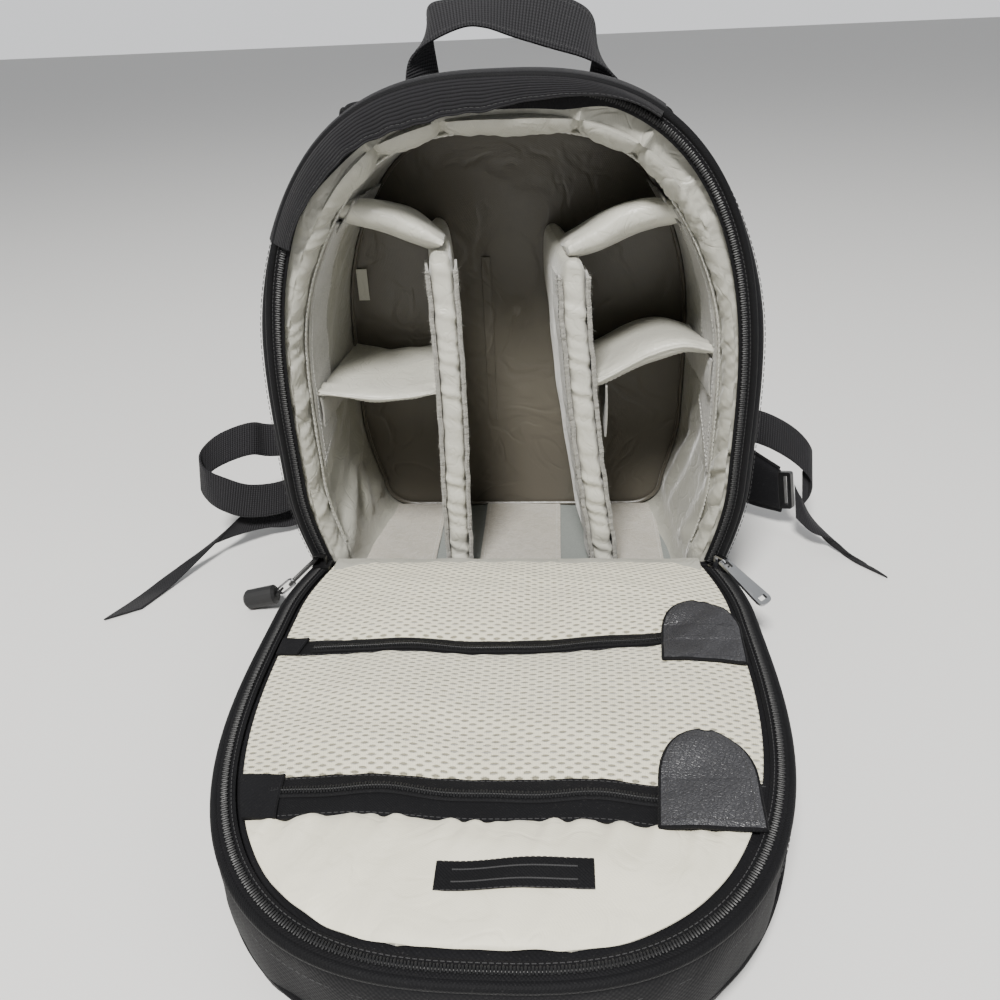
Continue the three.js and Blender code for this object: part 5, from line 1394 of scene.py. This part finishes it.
def make_patches():
    """Leather patches: a straight foot, straight sides and a round top; the edge is beaten thin, and a
    row of stitches runs inside it."""
    for seed, (name, (foot, centre)) in enumerate(PATCHES.items()):
        t, v = np.meshgrid(np.linspace(0, 0.992, 60), np.linspace(-1, 1, 40), indexing="ij")
        half = 22.5 * np.sqrt(1 - np.clip((t - 0.48) / 0.52, 0, 1) ** 2.3)
        x = centre + 5 * t + half * v - 1.2 * t * v
        along = foot - 57 * t + 1.5 * (1 - v ** 2) * (t - 0.5)
        below = ground(x, along)
        level = below.mean()
        flattened = np.maximum(below, level * 0.7) * 0.5 + level * 0.5
        pillow = 0.7 * (1 - np.abs(v) ** 6) * (1 - np.abs(2 * t - 1) ** 8)
        height = np.maximum(flattened, below) + 1.1 + pillow + waves(x + along, 30, 131 + seed) * 0.35
        points = on_lid(x, along, height)
        inset = np.linspace(0.055, 0.94, 60)
        rows = (inset * 59).round().astype(int)
        left, right = points[rows, 3], points[rows[::-1], -4]
        top_arc = points[int(0.94 * 59), 3:-3]
        bottom = points[4, -4:2:-1]
        parts = [(slab(points, 1.9), "leather")]
        for line in (left, top_arc, right, bottom):
            sewn = stitches(line, same(LID_UPWARD, len(line)), 2.7, 1.9, 0.5, 1.0)
            parts.append((sewn, "thread_dark"))
        rim = np.concatenate([points[:, 0], points[-1, 1:-1], points[::-1, -1], points[0, -2:0:-1]])
        border = rope(rim, same(LID_UPWARD, len(rim)), 2.0, 2.3, 8, closed=True)
        parts.append((border, "black_tape"))
        piece(name.replace("patch", "patch_sewn"), parts, stands_for=[name])


def make_label():
    """Woven label: a thin black band with two plain light stripes."""
    t, v = np.meshgrid(np.linspace(0, 1, 8), np.linspace(0, 1, 40), indexing="ij")
    x, along = -21.5 + 64 * v, 245.0 + 13.2 * t - 1.6 * v
    start, end = panel_edges("satin_panel", x)
    height = panel_height(x, along, start, end, *POCKET_CLOTHS["satin_panel"]) + 1.5
    points = on_lid(x, along, height)
    up = same(LID_UPWARD, 40)
    parts = [(slab(points, 0.8), "black_tape")]
    for row in (2, 5):
        parts.append((rope(points[row, 4:-4], up[4:-4], 0.9, 1.4, 6), "thread_dark"))
    for row in (0, 7):
        parts.append((stitches(points[row], up, 2.4, 1.7, 0.4, 0.4), "thread_dark"))
    piece("label_band", parts, stands_for=["woven_label"])


def make_hinge():
    """Fold of cloth between body and lid: rows across the gap that sag a little."""
    t, v = np.meshgrid(np.linspace(0, 1, 24), np.linspace(-1, 1, 90), indexing="ij")
    x = 121.0 * v
    y = -64.0 - 15.5 * t
    z = 43.6 + 1.1 * np.sin(np.pi * t) + waves(x + y, 40, 141) * 0.4
    points = np.stack([x, y, z], -1)
    parts = [(slab(points, 1.3), "grey_satin")]
    made = piece("hinge_cloth", parts, stands_for=["hinge_strip"])


# Handle, straps and webbing

CROWN_HEIGHT = HINGE_HEIGHT + MOUTH_HEIGHT + CROWN_BULGE
HANDLE_HALF_SPAN = 67.0
HANDLE_RISE = 42.0
HANDLE_FRONT_Y = 40.0
HANDLE_BACK_Y = 58.0
STRAP_WIDTH = 52.0
STRAP_THICKNESS = 10.0


def crown_height(x, y):
    """Height of the outside of the body above a point of its plan."""
    rows = shell_rows(200, 0)
    row = [np.interp(y, rows[:, 0], rows[:, k]) for k in range(4)]
    line = body_points(Ring(np.linspace(0.3, 0.7, 500)), [row])[:, 0]
    return np.interp(x, line[::-1, 0], line[::-1, 2])


# Front across and up, back across and up: shares of the handle's half span and of its rise
HANDLE_EDGES = [
    (-0.9, 0.08, -0.71, 0.3), (-0.72, 0.3, -0.73, 0.74), (-0.41, 0.48, -0.52, 0.83),
    (-0.2, 0.47, -0.22, 0.86), (0.05, 0.34, 0.12, 0.9), (0.38, 0.18, 0.41, 0.84),
    (0.68, 0.04, 0.72, 0.62), (0.88, -0.12, 0.79, 0.26),
]


def make_handle():
    """Webbing arch between its two edges, with sewn edges."""
    base = CROWN_HEIGHT - 1
    table = np.array(HANDLE_EDGES)
    edges = []
    for first, last, y, column in ((-0.96, 1.04, HANDLE_FRONT_Y, 0), (-0.67, 0.74, HANDLE_BACK_Y, 2)):
        x = table[:, column] * HANDLE_HALF_SPAN
        feet = np.array([first, last]) * HANDLE_HALF_SPAN
        line = [(foot, y, crown_height(foot, y) + 1.2) for foot in feet]
        middle = np.stack([x, np.full(len(x), y), base + table[:, column + 1] * HANDLE_RISE], 1)
        edges.append(even(smooth(np.vstack([line[:1], middle, line[1:]]), 200), 110))
    v = np.linspace(0, 1, 12)[None, :, None]
    points = edges[0][:, None] * (1 - v) + edges[1][:, None] * v
    points[..., 2] += np.sin(np.pi * v[..., 0]) * 0.8
    normal = normals(points)
    facing = normal * np.sign(normal[..., 2:].mean())
    parts = [(slab(points, WEBBING_THICKNESS), "webbing")]
    for column in (1, -2):
        parts.append((stitches(points[:, column], facing[:, column], 3.0, 2.1, 0.5, 0.7), "thread_dark"))
    piece("handle_webbing", parts, stands_for=["handle"], sharp=50)


# Side, then for each section: share of the mouth's half width and distance out from it, distance
# behind the back, share of the crown's height and distance above it, direction of the width, share
# of the width
SHOULDER_STRAPS = {
    "right": (1, [
        (0, 74, 5.1, 1, -62, 1, 0, 0, 0.9), (0, 80, 8, 1, -42, 1, 0, 0, 0.95),
        (0, 78, 16, 1, -34, 1, 0, 0, 0.85), (0, 84, 27, 1, -40, 1, 0, 0, 0.9),
        (0, 92, 32, 1, -70, 1, 0, 0, 1), (0, 101, 34, 0.6, 0, 1, 0, 0, 1),
        (0, 106, 33, 0.42, 0, 0.95, 0, -0.3, 1), (0.5, 50, 29, 0.27, 0, 0.8, 0, 0.6, 1),
        (1, -3, 23, 0, 61, 0.5, 0.2, 0.84, 0.95), (1, 14, 13, 0, 45, 0.2, 0.3, 0.93, 0.85),
        (1, 40, -8, 0, 36, 0, 0.35, 0.94, 0.78), (1, 62, -25, 0, 32, -0.1, 0.3, 0.95, 0.62)]),
    "left": (-1, [
        (0, 74, 5.1, 1, -62, 1, 0, 0, 0.9), (0, 80, 8, 1, -42, 1, 0, 0, 0.95),
        (0, 88, 16, 1, -28, 1, 0, 0, 1), (0, 95, 27, 1, -34, 1, 0, 0, 1),
        (0, 98, 32, 1, -66, 1, 0, 0, 1), (0, 99, 34, 0.6, 0, 1, 0, 0, 1),
        (0, 100, 34, 0.42, 0, 1, 0, 0, 1), (0, 103, 32, 0.27, 0, 0.95, 0, 0.3, 1),
        (0, 112, 27, 0, 62, 0.8, 0, 0.6, 0.9), (0, 128, 21, 0, 44, 0.5, 0.1, 0.86, 0.62)]),
}
WEBBING_RUNS = {
    "webbing_loop_right": (1, [
        (1, 76, -33.5, 0, 38, 0, 0.5, 0.86, 1), (1, 80, -33.5, 0, 46, 0, 0.5, 0.86, 1),
        (1, 79.5, -33, 0, 58, 0, 0.5, 0.86, 1), (1, 71, -27, 0, 68, 0, 0.4, 0.9, 1),
        (1, 58, -17, 0, 74.5, 0, 0.3, 0.95, 1), (1, 42, -8, 0, 78.5, 0, 0.2, 0.98, 1),
        (1, 16, 2.2, 0, 80, 0, 0, 1, 1), (1, -12, 1.6, 0, 80, 0, 0, 1, 1)]),
    "webbing_loop_left": (-1, [
        (1, -22, 1.2, 0, 66, 0, 0, 1, 1), (1, 14, 2.2, 0, 67, 0, 0, 1, 1),
        (1, 62, -6, 0, 70, 0, 0.4, 0.9, 1), (1, 74, -17, 0, 77, 0, 0.5, 0.86, 1),
        (1, 89, -26, 0, 76, 0, 0.5, 0.86, 1), (1, 102, -35, 0, 71.5, 0, 0.5, 0.86, 1),
        (1, 109, -45, 0, 63.5, 0, 0.4, 0.9, 1), (1, 103, -53, 0, 55, 0, 0.3, 0.95, 1),
        (1, 89, -55, 0, 47, -0.1, 0.45, 0.88, 1), (1, 73, -49, 0, 38, -0.1, 0.5, 0.86, 1),
        (1, 50, -33, 0, 33.5, 0, 0.5, 0.86, 1), (1, 26, -7, 0, 37, 0, 0.3, 0.95, 1),
        (1, 6, 14.2, 0, 44, 0, 0.1, 0.99, 1)]),
    "webbing_tail_right": (1, [
        (1, 69.6, -41.3, 0, 30.8, 0, 0.6, 0.8, 1), (1, 77, -50, 0, 23, -0.2, 0.7, 0.68, 1),
        (1, 88, -54, 0, 14, -0.5, 0.8, 0.3, 1), (1, 98, -64, 0, 5, -0.6, 0.8, 0.1, 1),
        (1, 108, -76, 0, 1.6, -0.65, 0.76, 0, 1), (1, 116, -90, 0, 1.4, -0.65, 0.76, 0, 1)]),
    "webbing_tail_left": (-1, [
        (1, -5, 17, 0, 26, 0, 0.4, 0.9, 0.8), (1, 20, -2, 0, 13, 0, 0.8, 0.6, 0.9),
        (1, 48, -24, 0, 13, 0, 0.86, 0.5, 1), (1, 66, -35, 0, 18.5, 0, 0.8, 0.6, 1),
        (1, 81, -48, 0, 19, -0.2, 0.85, 0.45, 1), (1, 94, -65, 0, 17, -0.5, 0.8, 0.3, 1),
        (1, 106, -83, 0, 12, -0.68, 0.7, 0.2, 1), (1, 117, -99, 0, 7, -0.75, 0.65, 0.1, 1),
        (1, 130, -122, 0, 2.2, -0.8, 0.6, 0, 1), (1, 142, -146, 0, 1.4, -0.85, 0.52, 0, 1)]),
}


def strap_edges(side, rows, width, count):
    """Low and high edge of a strap from its table."""
    rows = np.array(rows, float)
    centre = np.stack([side * (rows[:, 0] * MOUTH_HALF + rows[:, 1]), BACK_Y + rows[:, 2],
                       rows[:, 3] * CROWN_HEIGHT + rows[:, 4]], 1)
    across = unit(rows[:, 5:8] * (side, 1, 1)) * rows[:, 8:9] * width / 2
    low, high = smooth(centre - across, 400), smooth(centre + across, 400)
    lengths = run_lengths((low + high) / 2)
    at = np.linspace(0, lengths[-1], count)
    return picked(at, lengths, low), picked(at, lengths, high)


def make_webbing():
    """Webbing ribbons: slabs between the two edges of each run."""
    for name, (side, rows) in WEBBING_RUNS.items():
        low, high = strap_edges(side, rows, WEBBING_WIDTH, 150)
        v = np.linspace(0, 1, 12)[None, :, None]
        points = low[:, None] * (1 - v) + high[:, None] * v
        piece(name.replace("webbing", "strap_webbing"), [(slab(points, WEBBING_THICKNESS), "webbing")],
              stands_for=[name], sharp=50)


def make_shoulder_straps():
    """Padded straps: sections with flat faces and round edges, and piping along both edges."""
    for name, (side, rows) in SHOULDER_STRAPS.items():
        low, high = strap_edges(side, rows, STRAP_WIDTH, 160)
        along = np.gradient(low + high, axis=0)
        across = high - low
        normal = unit(np.cross(along, across))
        angle = (np.arange(40) + 0.5) * 2 * np.pi / 40
        wide = 0.5 + np.sign(np.cos(angle)) * np.abs(np.cos(angle)) ** 0.4 / 2
        thick = np.sin(angle) * STRAP_THICKNESS / 2
        points = low[:, None] + across[:, None] * wide[:, None] + normal[:, None] * thick[:, None]
        parts = [(loft(points), "black_fabric"),
                 (rope(low - unit(across) * 0.6, normal, 3.4, 3.2, 8), "black_tape"),
                 (rope(high + unit(across) * 0.6, normal, 3.4, 3.2, 8), "black_tape")]
        made = piece("shoulder_pad_" + name, parts, stands_for=["shoulder_strap_" + name],
                     sharp=60)


def make_back_panel():
    """Padded back panel: a shallow pillow over the back with an upright channel down its middle."""
    v, t = np.meshgrid(np.linspace(-1, 1, 70), np.linspace(-1, 1, 90), indexing="ij")
    x, z = v * 111.0, 140.5 + t * 114.0
    edge = (1 - np.abs(v) ** 6) * (1 - np.abs(t) ** 8)
    channel = np.exp(-(x / 9) ** 2) * 3 + np.exp(-((z - 140) / 7) ** 2) * 2
    bulge = BACK_Y + 0.8 + edge * (5.6 - channel) + waves(x + z, 50, 151) * 0.3
    front = np.stack([x, np.full_like(x, BACK_Y + 0.6), z], -1)
    back = np.stack([x, bulge, z], -1)
    ring = np.concatenate([front, back[:, ::-1]], 1)
    made = piece("back_pad", [(loft(ring), "black_fabric")],
                 stands_for=["back_panel"], sharp=60)


# Hardware

HARD_PARTS = {
    "slider_left": "black_plastic", "slider_right": "dark_chrome", "pull_tab_left": "black_plastic",
    "pull_tab_right": "grey_metal", "pull_link_left": "dark_chrome", "pull_barrel_left": "rubber",
    "strap_end_left": "black_plastic", "strap_end_right": "black_plastic",
}


def dress_hard_parts():
    for name, material in HARD_PARTS.items():
        mesh = bpy.data.objects[name].data
        mesh.materials.clear()
        mesh.materials.append(MATERIALS[material])


# Surroundings

# Place in metres, angles in radians, focal length in sensor widths
CAMERA_PLACE = (0.029, -0.535, 0.363)
CAMERA_YAW = -0.080
CAMERA_PITCH = 0.524
CAMERA_ROLL = -0.045
CAMERA_FOCAL = 0.843
SENSOR_WIDTH = 36.0


def make_floor_plane():
    bpy.ops.mesh.primitive_plane_add(size=30.0, location=(0, 0, 0))
    floor = bpy.context.object
    floor.name = "table"
    floor.data.materials.append(Finish("table_top", (0.72, 0.715, 0.7), 0.6).material)


def add_light(name, place, target, size, power, color=(1.0, 1.0, 1.0)):
    lamp = bpy.data.lights.new(name, "AREA")
    lamp.shape = "DISK"
    lamp.size = size
    lamp.energy = power
    lamp.color = color
    made = bpy.data.objects.new(name, lamp)
    SCENE.collection.objects.link(made)
    made.location = place
    made.rotation_euler = (Vector(target) - Vector(place)).to_track_quat("-Z", "Y").to_euler()


def make_lights():
    add_light("key", (-0.25, -1.35, 2.1), (0.0, -0.1, 0.15), 0.6, 116.0, (1.0, 0.985, 0.955))
    add_light("fill", (1.5, -1.0, 1.3), (0.0, 0.0, 0.15), 1.2, 9.0, (0.95, 0.97, 1.0))
    world = bpy.data.worlds.new("studio")
    world.use_nodes = True
    background = world.node_tree.nodes["Background"]
    background.inputs["Color"].default_value = (0.97, 0.98, 1.0, 1.0)
    tree = world.node_tree
    direction = tree.nodes.new("ShaderNodeTexCoord").outputs["Generated"]
    _, behind, _ = split(tree, direction)
    tree.links.new(remap(tree, behind, 0.0, 0.75, 0.2, 1.0), background.inputs["Strength"])
    SCENE.world = world


def make_camera():
    """Camera from its place and its yaw, pitch and roll."""
    level = math.cos(CAMERA_PITCH)
    forward = np.array([math.sin(CAMERA_YAW) * level, math.cos(CAMERA_YAW) * level, -math.sin(CAMERA_PITCH)])
    right = unit(np.cross(forward, [0.0, 0.0, 1.0]))
    up = np.cross(right, forward)
    across = right * math.cos(CAMERA_ROLL) + up * math.sin(CAMERA_ROLL)
    tall = -right * math.sin(CAMERA_ROLL) + up * math.cos(CAMERA_ROLL)
    lens = bpy.data.cameras.new("camera")
    lens.sensor_width = SENSOR_WIDTH
    lens.lens = CAMERA_FOCAL * SENSOR_WIDTH
    lens.clip_start = 0.01
    made = bpy.data.objects.new("camera", lens)
    SCENE.collection.objects.link(made)
    axes = [[across[k], tall[k], -forward[k], CAMERA_PLACE[k]] for k in range(3)]
    made.matrix_world = Matrix(axes + [[0, 0, 0, 1]])
    SCENE.camera = made


make_shell()
make_lining()
make_wall_seams()
make_wall_loops()
make_back_lining()
make_floor()
make_long_dividers()
make_shelves()
make_shelf_tabs()
make_body_zip()
make_flap()
make_lid_shell()
make_lid_zip()
make_lid_pad()
make_pockets()
make_pocket_zips()
make_patches()
make_label()
make_hinge()
make_handle()
make_webbing()
make_shoulder_straps()
make_back_panel()
dress_hard_parts()
make_floor_plane()
make_lights()
make_camera()
